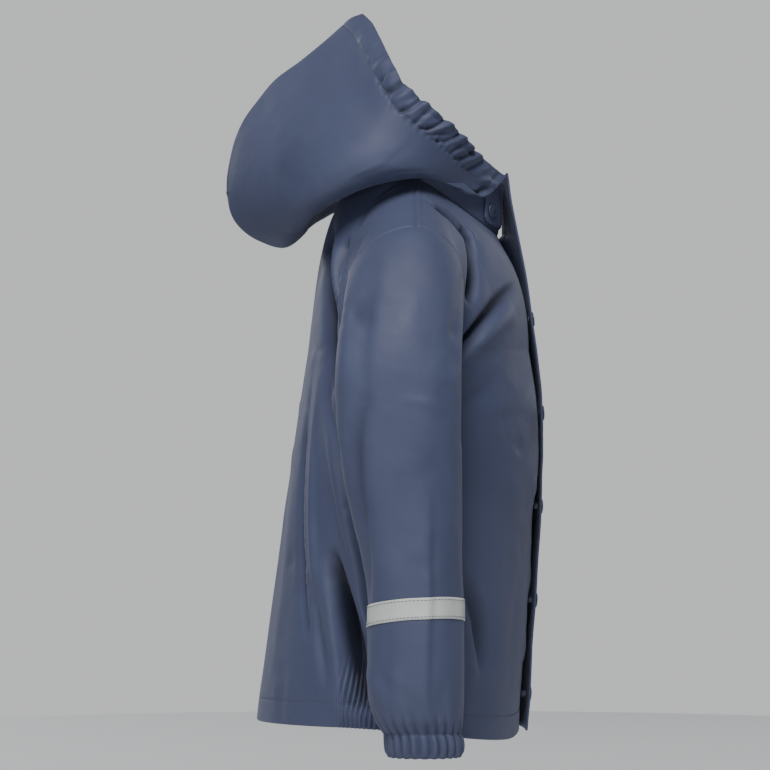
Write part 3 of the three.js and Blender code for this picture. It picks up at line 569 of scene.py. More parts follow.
def body_points(end, neck, hem, pulls, across, rise, climb):
    """One body panel on the right. across is the distance round from the centre line, rise the
    height above the hem of its lower rows, and climb the height of the upper ones."""
    s = across / BACK_SPAN
    low = look_up(hem, "s", s, "z")
    z = mix(low[None, :], ARMPIT_Z, (rise / HEM_SPAN)[:, None])
    lower = body_quarter(end, np.broadcast_to(s, z.shape), z)
    upper = chest_points(end, neck, pulls, s[None, :], (climb / CHEST_SPAN)[:, None])
    return np.concatenate([lower[:-1], upper])


def armhole_point(angle):
    """The armhole edge by sleeve angle: 0 at the shoulder tip, then the front, armpit, back."""
    ones = np.ones_like(angle)
    fore = chest_points("front", FRONT_NECK, CHEST_PULLS, ones, np.clip(1 - angle / math.pi, 0, 1))
    rear = chest_points("back", BACK_NECK, BACK_PULLS, ones, np.clip(angle / math.pi - 1, 0, 1))
    return np.where((angle <= math.pi)[..., None], fore, rear)


def sleeve_point(z, angle):
    """A point of a sleeve section: angle 0 is the outer side, then the front, body and back."""
    ring = {name: look_up(SLEEVE_RINGS, "z", z, name) for name in SLEEVE_RINGS}
    power = 2 / SLEEVE_POWER
    out = np.sign(np.cos(angle)) * np.abs(np.cos(angle)) ** power
    fore = np.sign(np.sin(angle)) * np.abs(np.sin(angle)) ** power
    centre = (ring["front"] + ring["back"]) / 2
    return point(-ring["middle"] - ring["half"] * out, centre + (ring["front"] - centre) * fore,
                 z + ring["tilt"] * np.cos(angle))


# Stand collar: angle -90 is the centre back, 0 the side neck point and 90 the centre front

def collar_rise(angle):
    share = np.sin(np.radians(np.abs(angle)))
    high = np.where(angle > 0, COLLAR_RISE["front"], COLLAR_RISE["back"])
    return mix(COLLAR_RISE["side"], high, share)


def collar_point(angle, rise):
    """A point of the collar on the right, at a share of its full rise."""
    angle, rise = np.broadcast_arrays(np.asarray(angle, float), np.asarray(rise, float))
    t = 1 - np.abs(angle) / 90
    base = np.where((angle > 0)[..., None], neckline(FRONT_NECK, t), neckline(BACK_NECK, t))
    lean = COLLAR_LEAN * np.sin(np.radians(angle)) * rise
    return base + point(0, -lean, COLLAR_LIFT + rise * collar_rise(angle))


# Hood

def smooth_curve(rows, fine=60):
    """A centripetal curve through the rows: gives its points at shares of its length."""
    rows = np.array(rows, float)
    ends = [2 * rows[0] - rows[1], *rows, 2 * rows[-1] - rows[-2]]
    line = [rows[0]]
    for before, start, end, after in zip(ends, ends[1:], ends[2:], ends[3:]):
        d0, d1, d2 = (np.linalg.norm(b - a) ** 0.5
                      for a, b in ((before, start), (start, end), (end, after)))
        leave = (start - before) / d0 - (end - before) / (d0 + d1) + (end - start) / d1
        arrive = (end - start) / d1 - (after - start) / (d1 + d2) + (after - end) / d2
        for t in np.arange(1, fine + 1) / fine:
            line.append(hermite(start, leave * d1, end, arrive * d1, t))
    return along_line(np.array(line))


def between(values, distance, where):
    """The values of rows of three at places along a rising distance."""
    return np.stack([np.interp(where, distance, values[:, k]) for k in range(3)], axis=-1)


def along_line(line):
    """A function that gives the points of a line at shares of its length."""
    distance = reach(line, 0)

    def at(t):
        return between(line, distance / distance[-1], t)
    at.length = distance[-1]
    return at


def hood_seat(angle):
    """Where the lower edge of the hood lies against the outside of the collar."""
    seat = collar_point(angle, HOOD_SEAT["rise"] / collar_rise(angle))
    spread = HOOD_SEAT["spread"]
    return (seat[0] * spread, NECK_Y + (seat[1] - NECK_Y) * spread, seat[2])


def hood_patch():
    """The hood half as a function of a, from the face edge back, and b, from below up."""
    seats = [hood_seat(np.array(float(angle))) for angle in HOOD_SEAT["angles"]]
    nape = seats[-1]
    lower = smooth_curve([*HOOD_LOWER_FREE, *seats])
    face = smooth_curve(HOOD_FACE)
    crown = smooth_curve(HOOD_CROWN)
    droop = smooth_curve([nape, *HOOD_DROOP])
    throat, tip, rear, nape = (np.array(p, float) for p in (HOOD_THROAT, HOOD_TIP, HOOD_REAR, nape))

    def patch(a, b):
        a_, b_ = a[..., None], b[..., None]
        place = (lower(a) * (1 - b_) + crown(a) * b_ + face(b) * (1 - a_) + droop(b) * a_
                 - throat * (1 - a_) * (1 - b_) - nape * a_ * (1 - b_)
                 - tip * (1 - a_) * b_ - rear * a_ * b_)
        for up, back, x, y, z in zip(*HOOD_BULGES.values()):
            share = np.sin(math.pi * a**back) * np.sin(math.pi * b**up)
            place = place + share[..., None] * np.array((x, y, z))
        return place
    return patch


# Meshes

def grid_faces(rows, columns, wrap):
    spans = columns if wrap else columns - 1
    r, c = np.meshgrid(np.arange(rows - 1), np.arange(spans), indexing="ij")
    n = (c + 1) % columns
    quads = np.stack([r * columns + c, r * columns + n, (r + 1) * columns + n,
                      (r + 1) * columns + c], axis=-1)
    return quads.reshape(-1, 4)


def wall(sheet, thickness):
    """The points and faces of a closed wall: the sheet, its inner side and rounded rims."""
    rows, columns = sheet.points.shape[:2]
    outer = sheet.points
    inner = outer - sheet.outward * thickness
    points = [outer.reshape(-1, 3), inner.reshape(-1, 3)]
    count = rows * columns
    outside = grid_faces(rows, columns, sheet.wrap)
    faces = [outside, outside[:, ::-1] + count]
    index = np.arange(count).reshape(rows, columns)
    edges = [(index[0], index[1], False), (index[-1], index[-2], True)]
    if not sheet.wrap:
        edges += [(index[:, 0], index[:, 1], True), (index[:, -1], index[:, -2], False)]
    flat = points[0]
    made = 2 * count
    for edge, beside, turned in edges:
        out = unit(flat[edge] - flat[beside]) * thickness * ROUNDING
        points.append((flat[edge] + points[1][edge]) / 2 + out)
        ring = np.arange(made, made + len(edge))
        made += len(edge)
        rims = [np.append(rim, rim[:1]) if sheet.wrap else rim for rim in (edge, ring, edge + count)]
        for near, far in zip(rims, rims[1:]):
            quads = np.stack([near[:-1], far[:-1], far[1:], near[1:]], axis=-1)
            faces.append(quads[:, ::-1] if turned else quads)
    return np.concatenate(points), np.concatenate(faces)


def add_object(name, data, place=(0, 0, 0), turn=(0, 0, 0)):
    made = bpy.data.objects.new(name, data)
    made.location = place
    made.rotation_euler = turn
    bpy.context.scene.collection.objects.link(made)
    return made


def new_object(name, points, faces, material):
    """A smooth mesh object from points in millimetres, with its faces turned outward."""
    points = points * MM
    corners = points[faces[:, :3]]
    volume = np.sum(corners[:, 0] * np.cross(corners[:, 1], corners[:, 2]))
    if faces.shape[1] == 4:
        corners = points[faces[:, [0, 2, 3]]]
        volume += np.sum(corners[:, 0] * np.cross(corners[:, 1], corners[:, 2]))
    if volume < 0:
        faces = faces[:, ::-1]
    mesh = bpy.data.meshes.new(name)
    mesh.from_pydata(points.tolist(), [], faces.tolist())
    mesh.materials.append(material)
    mesh.polygons.foreach_set("use_smooth", [True] * len(mesh.polygons))
    mesh.update()
    return add_object(name, mesh)


def keep_depth(made, sheet):
    """Stores the fold depth of a wall's points as a point attribute: the mask of the painted shade that
    darkens the cloth's colour in its creases.
    """
    depth = np.zeros(len(made.data.vertices))
    count = sheet.depth.size
    depth[:count] = depth[count:2 * count] = sheet.depth.ravel()
    made.data.attributes.new(PAINTED_SHADE_ATTRIBUTE, "FLOAT", "POINT").data.foreach_set("value", depth)


def stitch_points(line, outward):
    """Stitches along a line on the cloth: each one is a small bead, drawn out along it."""
    distance = reach(line, 0)
    centres = np.arange(STITCH_PITCH / 2, distance[-1], STITCH_PITCH)
    half = STITCH_LENGTH / 2
    along = unit(between(line, distance, centres + half) - between(line, distance, centres - half))
    up = between(outward, distance, centres)
    up = unit(up - along * np.sum(up * along, axis=1, keepdims=True))
    side = np.cross(along, up)
    middle = between(line, distance, centres) + up * STITCH_LIFT
    turns = np.arange(STITCH_SIDES) * 2 * math.pi / STITCH_SIDES
    points, faces = [], []
    for share, size in STITCH_SHAPE:
        core = middle + along * half * share
        if size == 0:
            points.append(core[:, None, :])
            continue
        ring = [core + (side * math.cos(turn) + up * math.sin(turn)) * STITCH_RADIUS * size
                for turn in turns]
        points.append(np.stack(ring, axis=1))
    points = np.concatenate(points, axis=1)
    first, last = 0, 1 + 2 * STITCH_SIDES
    for k in range(STITCH_SIDES):
        n = (k + 1) % STITCH_SIDES
        low, low_next = 1 + k, 1 + n
        high, high_next = low + STITCH_SIDES, low_next + STITCH_SIDES
        faces += [(first, low_next, low), (low, low_next, high_next), (low, high_next, high),
                  (last, high, high_next)]
    count = points.shape[1]
    faces = np.array(faces)
    many = (faces[None] + (np.arange(len(points)) * count)[:, None, None]).reshape(-1, 3)
    return points.reshape(-1, 3), many


def join(parts):
    """Several sets of points and faces as one."""
    points, faces, made = [], [], 0
    for some_points, some_faces in parts:
        points.append(some_points)
        faces.append(some_faces + made)
        made += len(some_points)
    return np.concatenate(points), np.concatenate(faces)


def sides_of(sheet):
    """The sheet for the wearer's right, and its mirror image for the left."""
    return ((RIGHT, sheet), (LEFT, sheet.mirrored()))


def stitch_column(column, end):
    """Where a line of stitches runs up a column of a sheet: its rows and columns."""
    rows = np.arange(0, end, LINE_STEP)
    return rows, np.full(len(rows), float(column))


def stitch_row(row, end):
    """Where a line of stitches runs along a row of a sheet: its rows and columns."""
    return stitch_column(row, end)[::-1]


def dress(name, sheet, material, replaced, lines, thickness=WALL):
    """Makes a piece of cloth with its stitching, and hides the parts that it replaces."""
    made = new_object(name, *wall(sheet, thickness), material)
    keep_depth(made, sheet)
    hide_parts(*replaced)
    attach(made, BODY)
    stitches = join([stitch_points(*sheet.near(row, column)) for row, column in lines])
    thread = new_object(f"stitches_{name}", *stitches, THREAD)
    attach(thread, BODY)


# Materials

def new_material(name):
    material = bpy.data.materials.new(name)
    material.use_nodes = True
    nodes = material.node_tree.nodes
    nodes.clear()
    output = nodes.new("ShaderNodeOutputMaterial")
    shader = nodes.new("ShaderNodeBsdfPrincipled")
    material.node_tree.links.new(shader.outputs["BSDF"], output.inputs["Surface"])
    return material, shader


def plug(material, made, inputs):
    """Sets a node's inputs: a socket is linked, and anything else becomes the value."""
    for name, value in inputs.items():
        if isinstance(value, bpy.types.NodeSocket):
            material.node_tree.links.new(value, made.inputs[name])
        else:
            made.inputs[name].default_value = value


def node(material, kind, inputs, **values):
    made = material.node_tree.nodes.new(kind)
    for name, value in values.items():
        setattr(made, name, value)
    plug(material, made, inputs)
    return made


def socket(sockets, identifier):
    """A socket that shares its name with others, by its identifier."""
    return next(found for found in sockets if found.identifier == identifier)


def noise(material, scale, detail, roughness=0.5):
    place = node(material, "ShaderNodeTexCoord", {}).outputs["Object"]
    return node(material, "ShaderNodeTexNoise",
                {"Vector": place, "Scale": scale, "Detail": detail, "Roughness": roughness}).outputs["Fac"]


def ramp(material, source, stops_):
    made = node(material, "ShaderNodeValToRGB", {"Fac": source})
    elements = made.color_ramp.elements
    while len(elements) < len(stops_):
        elements.new(0.5)
    for element, (place, colour) in zip(elements, stops_):
        element.position = place
        element.color = (*colour, 1.0)
    return made.outputs["Color"]


def bump(material, layers):
    """Bumps one on another: height source, strength and depth in metres."""
    normal = None
    for source, strength, depth in layers:
        made = node(material, "ShaderNodeBump", {"Height": source, "Strength": strength, "Distance": depth})
        if normal is not None:
            plug(material, made, {"Normal": normal})
        normal = made.outputs["Normal"]
    return normal


NAVY_LOW, NAVY_HIGH = (0.049, 0.059, 0.114), (0.061, 0.073, 0.137)
# Painted shade: the colour that the cloth is multiplied by in its deepest creases, and the fold depth where
# the darkening starts
PAINTED_CREASE_SHADE, PAINTED_SHADE_START = (0.16, 0.17, 0.20), 0.12


def cloth_material(name="coated_cloth"):
    """Navy coated cloth: a soft satin face with a fine grain and shallow crinkles, its colour darkened by
    painted shade in the creases.
    """
    material, shader = new_material(name)
    patches = noise(material, 9.0, 4.0, 0.55)
    colour = ramp(material, patches, [(0.3, NAVY_LOW), (0.7, NAVY_HIGH)])
    # Painted shade: the fold depth darkens the navy towards the crease colour
    depth = node(material, "ShaderNodeAttribute", {}, attribute_name=PAINTED_SHADE_ATTRIBUTE).outputs["Fac"]
    shade = ramp(material, depth, [(PAINTED_SHADE_START, (1.0, 1.0, 1.0)), (1.0, PAINTED_CREASE_SHADE)])
    shaded = node(material, "ShaderNodeMix", {"Factor": 1.0}, data_type="RGBA", blend_type="MULTIPLY")
    material.node_tree.links.new(colour, socket(shaded.inputs, "A_Color"))
    material.node_tree.links.new(shade, socket(shaded.inputs, "B_Color"))
    shine = node(material, "ShaderNodeMapRange",
                 {"Value": noise(material, 24.0, 3.0), "From Min": 0.3, "From Max": 0.7,
                  "To Min": 0.56, "To Max": 0.66}).outputs["Result"]
    grain = noise(material, 1600.0, 2.0, 0.6)
    crinkle = noise(material, 70.0, 5.0, 0.6)
    soft = noise(material, 22.0, 3.0, 0.5)
    plug(material, shader, {
        "Base Color": socket(shaded.outputs, "Result_Color"), "Roughness": shine,
        "Specular IOR Level": 0.36, "Sheen Weight": 0.08, "Sheen Roughness": 0.45,
        "Sheen Tint": (0.75, 0.8, 1.0, 1.0),
        "Normal": bump(material, [(soft, 0.35, 0.004), (crinkle, 0.25, 0.0012), (grain, 0.12, 0.0002)]),
    })
    return material


def thread_material():
    material, shader = new_material("sewing_thread")
    twist = noise(material, 900.0, 2.0)
    colour = ramp(material, twist, [(0.3, (0.045, 0.056, 0.100)), (0.7, (0.078, 0.094, 0.155))])
    plug(material, shader, {"Base Color": colour, "Roughness": 0.55,
                            "Normal": bump(material, [(twist, 0.4, 0.0002)])})
    return material


def tape_material():
    """Light grey reflective tape: a matt face of tiny beads with a faint mesh print."""
    material, shader = new_material("reflective_tape")
    beads = noise(material, 2400.0, 2.0, 0.7)
    patches = noise(material, 30.0, 3.0)
    colour = ramp(material, patches, [(0.3, (0.50, 0.525, 0.50)), (0.7, (0.60, 0.62, 0.60))])
    plug(material, shader, {"Base Color": colour, "Roughness": 0.48, "Metallic": 0.15,
                            "Normal": bump(material, [(patches, 0.2, 0.001), (beads, 0.3, 0.0002)])})
    return material


def stud_material():
    """Press stud: navy painted metal with a soft gloss."""
    material, shader = new_material("press_stud")
    patches = noise(material, 300.0, 3.0)
    colour = ramp(material, patches, [(0.3, (0.043, 0.055, 0.098)), (0.7, (0.055, 0.069, 0.120))])
    plug(material, shader, {"Base Color": colour, "Roughness": 0.38, "Metallic": 0.25,
                            "Coat Weight": 0.25, "Coat Roughness": 0.28,
                            "Normal": bump(material, [(patches, 0.15, 0.0002)])})
    return material


CLOTH = cloth_material()
THREAD = thread_material()
TAPE = tape_material()
STUD = stud_material()


# Pieces

def seam_dips(across, lines):
    return sum(ridge(across - line, -SEAM_DIP, SEAM_WIDTH) for line in lines)


def grooves(across, lines):
    return sum(ridge(across - line, -GROOVE_DIP, GROOVE_WIDTH) for line in lines)


def row_of(places, value):
    """The fractional index of a value in a rising list of places."""
    return np.interp(value, places, np.arange(len(places)))


def rows_at(distance, value, wanted=None):
    """The fractional rows and the columns of a grid where a distance has a value."""
    count = distance.shape[1]
    columns = np.arange(count, dtype=float)
    if wanted is not None:
        columns = columns[wanted]
    rows = []
    for column in columns.astype(int):
        line = distance[:, column]
        order = np.argsort(line)
        rows.append(np.interp(value, line[order], order.astype(float)))
    return np.array(rows), columns


FRONT_STITCH = 7.0
SHOULDER_STITCH = 6.0
TURNED_PUSH, TURNED_WIDTH = 0.5, 2.0


def make_fronts():
    across = stops(BACK_SPAN, (0.0, FRONT_STITCH, BACK_SPAN))
    rise = stops(HEM_SPAN, (0.0, HEM_DEPTH))
    climb = stops(CHEST_SPAN, (CHEST_SPAN,))
    points = body_points("front", FRONT_NECK, FRONT_HEM, CHEST_PULLS, across, rise, climb)
    sheet = Sheet(points, (0, NECK_Y, ARMPIT_Z))
    side = np.broadcast_to(across, points.shape[:2])
    height = points[..., 2]
    level = reach(points, 0)
    to_top = level[-1:] - level
    inside = fade(across, FRONT_FADE) * fade(BACK_SPAN - across, EDGE_FADE)
    on_shoulder = side >= BACK_SPAN * SHOULDER_START
    push = fold_push(FRONT_FOLDS, side, height) * inside
    push = push + crumple(side, height, FRONT_CRUMPLES, BODY_CRUMPLE, SEED) * inside
    push = push * fade(to_top, SEAM_FADE)
    # Painted shade: how far the folds push the cloth in, to darken its colour in the creases
    sheet.shade(push, BODY_DEEPEST)
    push = push + seam_dips(side, (BACK_SPAN,)) + seam_dips(to_top, (0.0,))
    push = push + grooves(side, (FRONT_STITCH,)) + grooves(level, (HEM_DEPTH,))
    turned = ridge(to_top - SHOULDER_STITCH / 2, TURNED_PUSH, TURNED_WIDTH)
    push = push + (grooves(to_top, (SHOULDER_STITCH,)) + turned) * on_shoulder
    sheet.raise_by(push)
    shoulder = np.arange(len(across)) >= row_of(across, BACK_SPAN * SHOULDER_START)
    lines = [rows_at(level, HEM_DEPTH), rows_at(to_top, SHOULDER_STITCH, shoulder),
             stitch_column(row_of(across, FRONT_STITCH), len(points) - 1)]
    for hand, part in sides_of(sheet):
        dress(f"cloth_front_{hand}", part, CLOTH, [f"front_{hand}"],
              lines)


def make_back():
    smooth_span = BACK_SPAN * HEM_GATHER_START
    gathered = smooth_span + stops(BACK_SPAN - smooth_span, (), GATHER_STEP)
    half = np.concatenate([stops(smooth_span, (), SMOOTH_STEP)[:-1], gathered])
    rise = stops(HEM_SPAN, (0.0, HEM_DEPTH))
    climb = stops(CHEST_SPAN, (CHEST_SPAN,))
    points = body_points("back", BACK_NECK, BACK_HEM, BACK_PULLS, half, rise, climb)
    points = np.concatenate([points[:, :0:-1], points * FLIP], axis=1)
    across = np.concatenate([-half[:0:-1], half])
    sheet = Sheet(points, (0, NECK_Y, ARMPIT_Z))
    side = np.broadcast_to(np.abs(across), points.shape[:2])
    height = points[..., 2]
    level = reach(points, 0)
    to_top = level[-1:] - level
    inside = fade(BACK_SPAN - side, EDGE_FADE)
    both = np.broadcast_to(across, points.shape[:2])
    push = fold_push(BACK_FOLDS, side, height) * inside
    push = push + crumple(both, height, BACK_CRUMPLES, BODY_CRUMPLE, SEED + 1) * inside
    push = push * fade(to_top, SEAM_FADE)
    gathers = gather_push(side, level) * inside
    # Painted shade darkens the folds and the gaps between the hem gathers
    sheet.shade(push + gathers * BODY_DEEPEST / CASING_DEEPEST, BODY_DEEPEST)
    push = push + gathers
    push = push + seam_dips(side, (BACK_SPAN,)) + seam_dips(to_top, (0.0,))
    push = push + grooves(level, (HEM_DEPTH,))
    sheet.raise_by(push)
    lines = [rows_at(level, HEM_DEPTH)]
    dress("cloth_back", sheet, CLOTH, ["back", "back_hem"],
          lines)


def gather_push(side, level):
    """Gathers of the elastic back hem, which fan out and fade above its stitch line."""
    t = (side / BACK_SPAN - HEM_GATHER_START) / (1 - HEM_GATHER_START)
    turn = t * HEM_GATHERS * math.pi + GATHER_SWAY * np.sin(level / 9 + side / 7)
    wave = np.sin(turn) ** GAP_SHARPNESS - GAP_LEVEL
    above = np.exp(-(np.maximum(level - HEM_DEPTH, 0) / HEM_GATHER_RISE) ** 2)
    swell = ridge(level - HEM_DEPTH / 2, GATHER_SWELL, GATHER_SWELL_WIDTH)
    return (swell - wave * HEM_GATHER_PUSH * above) * fade(t, GATHER_FADE)


def make_sleeves():
    count = SLEEVE_COLUMNS
    angle = np.arange(count) / count * 2 * math.pi
    head = stops(SLEEVE_HEAD_SPAN, (0.0,)) / SLEEVE_HEAD_SPAN
    drop = stops(SLEEVE_TOP_Z - CUFF_LOW_Z, (SLEEVE_TOP_Z - CUFF_LINE_Z,), 2.0)
    start = armhole_point(angle) - np.array((SLEEVE_SHIFT, 0, 0))
    end = sleeve_point(np.full(count, SLEEVE_TOP_Z), angle)
    leave = point(-(HEAD_PULL["out"] + HEAD_PULL["out_swing"] * np.cos(angle)),
                  HEAD_PULL["back"] * np.maximum(-np.sin(angle), 0),
                  -(HEAD_PULL["down"] + HEAD_PULL["down_swing"] * np.cos(angle)))
    arrive = point(0, 0, (end - start)[:, 2] * HEAD_END_PULL)
    upper = hermite(start[None], leave[None], end[None], arrive[None], head[:-1, None, None])
    z = np.broadcast_to((SLEEVE_TOP_Z - drop)[:, None], (len(drop), count))
    lower = sleeve_point(z, np.broadcast_to(angle, z.shape))
    points = np.concatenate([upper, lower])
    sheet = Sheet(points, SLEEVE_MIDDLE, wrap=True)
    turn = np.where(angle > math.pi, angle - 2 * math.pi, angle) * SLEEVE_ROUND / (2 * math.pi)
    around = np.broadcast_to(turn, points.shape[:2])
    height = points[..., 2]
    ring_z = np.concatenate([np.full(len(head) - 1, 0.0), SLEEVE_TOP_Z - drop])[:, None]
    from_head = np.concatenate([head[:-1] * SLEEVE_HEAD_SPAN, SLEEVE_HEAD_SPAN + drop])[:, None]
    free = fade(from_head, EDGE_FADE) * fade(ring_z - CUFF_LINE_Z, EDGE_FADE)
    push = fold_push(SLEEVE_FOLDS, around, height, SLEEVE_ROUND) * free
    small = crumple(around, height, SLEEVE_CRUMPLES, BODY_CRUMPLE, SEED + 2, SLEEVE_ROUND)
    push = push + small * free
    pleats = cuff_push(angle, ring_z)
    # Painted shade darkens the folds and the gaps between the cuff pleats
    sheet.shade(push + pleats * BODY_DEEPEST / CASING_DEEPEST, BODY_DEEPEST)
    push = push + pleats
    push = push + seam_dips(from_head, (0.0,)) + grooves(ring_z, (CUFF_LINE_Z,))
    sheet.raise_by(push)
    row = len(head) - 1 + row_of(drop, SLEEVE_TOP_Z - CUFF_LINE_Z)
    lines = [stitch_row(row, count + LINE_STEP)]
    for hand, part in sides_of(sheet):
        dress(f"cloth_sleeve_{hand}", part, CLOTH, [f"sleeve_{hand}", f"cuff_{hand}"],
              lines)
    make_strips(sheet, len(head) - 1, drop)


def cuff_push(angle, ring_z):
    """Pleats of the elastic cuff, which fade out above its stitch line."""
    turn = (CUFF_PLEATS * angle + CUFF_SWAY * np.sin(3 * angle)) / 2
    wave = (GAP_LEVEL - np.sin(turn) ** GAP_SHARPNESS)[None, :]
    below = mix(CUFF_LEAST, 1, fade(CUFF_LINE_Z + 1 - ring_z, CUFF_FADE))
    above = np.exp(-(np.maximum(ring_z - CUFF_LINE_Z, 0) / CUFF_RISE) ** 2) * CUFF_ABOVE
    share = np.where(ring_z < CUFF_LINE_Z, below, above)
    lip = np.clip((ring_z - CUFF_LOW_Z) / LIP_FADE, LIP_LEAST, 1)
    return np.where(ring_z < CUFF_TOP_Z, wave * CUFF_PUSH * share * lip, 0)


def make_strips(sleeve, head_rows, drop):
    """Reflective strips: made from the sleeve's own points, moved out."""
    columns = np.arange(sleeve.points.shape[1], dtype=float)
    slant = STRIP_SLANT * np.sin(columns / len(columns) * 2 * math.pi)
    z = np.linspace(STRIP_HIGH_Z, STRIP_LOW_Z, STRIP_ROWS)[:, None] + slant
    rows = head_rows + row_of(drop, SLEEVE_TOP_Z - z)
    points, outward = sleeve.near(*np.broadcast_arrays(rows, columns))
    strip = Sheet(points + outward * STRIP_LIFT, SLEEVE_MIDDLE, wrap=True)
    lines = [stitch_row(row, len(columns) + LINE_STEP) for row in STRIP_STITCH_ROWS]
    for hand, part in sides_of(strip):
        dress(f"tape_sleeve_{hand}", part, TAPE, [f"reflective_strip_{hand}"],
              lines, TAPE_WALL)


def make_collar():
    half = stops(180.0, (), COLLAR_STEP) - 90.0
    angle = np.concatenate([half[::-1], half[1:]])
    mirror = np.concatenate([np.ones(len(half)), -np.ones(len(half) - 1)])
    rise = stops(COLLAR_HEIGHT, (0.0, COLLAR_STITCH)) / COLLAR_HEIGHT
    points = collar_point(angle[None, :], rise[:, None])
    points[..., 0] *= mirror
    sheet = Sheet(points, (0, NECK_Y, 0))
    level = (rise * COLLAR_HEIGHT)[:, None]
    across = COLLAR_STEP * np.arange(1, len(angle) + 1)[None, :]
    flat = np.broadcast_arrays(across, level)
    push = crumple(*flat, COLLAR_CRUMPLES, COLLAR_CRUMPLE, SEED + 3) * fade(level, SEAM_FADE)
    push = push + seam_dips(level, (0.0,)) + grooves(level, (COLLAR_STITCH,))
    sheet.raise_by(push)
    lines = [stitch_row(row_of(level[:, 0], COLLAR_STITCH), len(angle) - 1)]
    dress("cloth_collar", sheet, CLOTH, ["collar"], lines, TURNED_WALL)


def make_hoods():
    patch = hood_patch()
    b = np.linspace(0, 1, HOOD_ROWS + 1)
    a = np.linspace(0, 1, HOOD_SAMPLES + 1)
    casing_stops = stops(CASING_WIDTH, (0.0, CASING_WIDTH), 2.0) / CASING_WIDTH
    panel_stops = stops(HOOD_DEPTH, (0.0, HOOD_DEPTH)) / HOOD_DEPTH
    rows, depth = [], []
    for share in b:
        line = along_line(patch(a, np.full_like(a, share)))
        casing = min(CASING_WIDTH / line.length, CASING_LARGEST_SHARE)
        t = np.concatenate([casing_stops[:-1] * casing, mix(casing, 1, panel_stops)])
        rows.append(line(t))
        depth.append(t * line.length)
    sheet = Sheet(np.array(rows), HOOD_MIDDLE)
    depth = np.array(depth)
    b = b[:, None]
    to_rear = depth[:, -1:] - depth
    flat = np.broadcast_arrays(depth, b * HOOD_HEIGHT)
    push = fold_push(HOOD_FOLDS, *flat) + crumple(*flat, HOOD_CRUMPLES, HOOD_CRUMPLE, SEED + 4)
    seams = fade(to_rear, SEAM_FADE) * fade((1 - b) * HOOD_HEIGHT, SEAM_FADE)
    seams = seams * fade(depth, CASING_WIDTH)
    push = push * seams + casing_push(b, depth)
    # Painted shade darkens the hood's folds and the casing's wrinkles
    sheet.shade(push, CASING_DEEPEST)
    push = push + seam_dips(to_rear, (0.0,)) + seam_dips((1 - b) * HOOD_HEIGHT, (0.0,))
    push = push + grooves(depth, (CASING_WIDTH,))
    seam_column = len(casing_stops) - 1
    scallop_edge(sheet, b, depth, seam_column)
    sheet.raise_by(push)
    lines = [stitch_column(seam_column, HOOD_ROWS)]
    for hand, part in sides_of(sheet):
        dress(f"cloth_hood_{hand}", part, CLOTH, [f"hood_{hand}", f"hood_hem_{hand}"],
              lines)


def scallop_edge(sheet, b, depth, seam_column):
    """Moves the face edge in and out, in the flat of the cloth, where the casing is gathered."""
    forward = unit(sheet.points[:, :1] - sheet.points[:, seam_column:seam_column + 1])
    bumps = fold_push(CASING_FOLDS, np.full_like(b, SCALLOP_DEPTH), b * FACE_LENGTH)
    share = 1 - fade(depth, CASING_WIDTH)
    sheet.points = sheet.points + forward * (SCALLOP_SHARE * bumps * share)[..., None]
    sheet.face()


def casing_push(b, depth):
    """Wrinkles of the elastic casing, and the puckers that they leave beside its seam."""
    depth, along = np.broadcast_arrays(depth, b * FACE_LENGTH)
    inside = fade(CASING_WIDTH + 3 - depth, 6)
    small = crumple(depth * CASING_STRETCH, along, CASING_CRUMPLES, CASING_CRUMPLE, SEED + 7)
    push = ridge(depth - CASING_WIDTH / 2, **CASING_SWELL)
    push = push + (fold_push(CASING_FOLDS, depth, along) + small) * inside
    span = fade(along - PUCKER_START, EDGE_FADE) * fade(PUCKER_END - along, EDGE_FADE)
    wave = np.sin(along * 2 * math.pi / PUCKER_PITCH + np.sin(along / 11))
    return push + wave * span * ridge(depth - CASING_WIDTH, PUCKER_PUSH, PUCKER_REACH)


def make_tabs():
    across = stops(TAB_SPAN, (0.0, TAB_SPAN), TAB_STEP) / TAB_SPAN
    up = stops(1.0, (), TAB_ROW)
    corner = TAB_ROUND * (1 - np.sqrt(np.maximum(1 - (2 * across - 1) ** TAB_SQUARENESS, 0)))
    angle = mix(TAB_START, TAB_END, across)[None, :]
    drop = mix(TAB_DROP_START, TAB_DROP_END, across) + corner
    rise = mix(drop[None, :], TAB_TOP, up[:, None])
    sheet = Sheet(collar_point(angle, rise / collar_rise(angle)), (0, NECK_Y, 0))
    sheet.raise_by(np.full(sheet.points.shape[:2], TAB_STAND))
    top, side = len(up) - 1, len(across) - 1
    shares = [(np.linspace(0.04, 0.96, TAB_SAMPLES), 0.09), (np.linspace(0.04, 0.96, TAB_SAMPLES), 0.91),
              (0.08, np.linspace(0.12, 0.88, TAB_SAMPLES))]
    lines = [np.broadcast_arrays(top * row, side * column) for row, column in shares]
    for hand, part in sides_of(sheet):
        dress(f"cloth_tab_{hand}", part, CLOTH, [f"hood_tab_{hand}"],
              lines, TURNED_WALL)


# Storm flap: sewn to the left front, with its free edge standing off the right front

def front_line(z):
    """Y of the centre front of the panel or the collar, whichever is at that height."""
    z = np.asarray(z, float)
    t = np.linspace(0, 1, 60)
    column = chest_points("front", FRONT_NECK, CHEST_PULLS, np.zeros(60), t)
    above = np.interp(z, column[:, 2], column[:, 1], right=FRONT_NECK["y"] - COLLAR_LEAN)
    return np.where(z < ARMPIT_Z, look_up(BODY_RINGS, "z", z, "front"), above)


def flap_face(x, z):
    across = (x + FLAP_HALF) / (2 * FLAP_HALF)
    free = look_up(FLAP_LINE, "z", z, "y")
    slope = front_line(z + 1) - front_line(z)
    sewn = front_line(z) - FLAP_STAND * np.hypot(1, slope)
    return np.minimum(mix(free, sewn, across**2), sewn)


FLAP_STITCH, FLAP_STEP = 6.0, 2.0


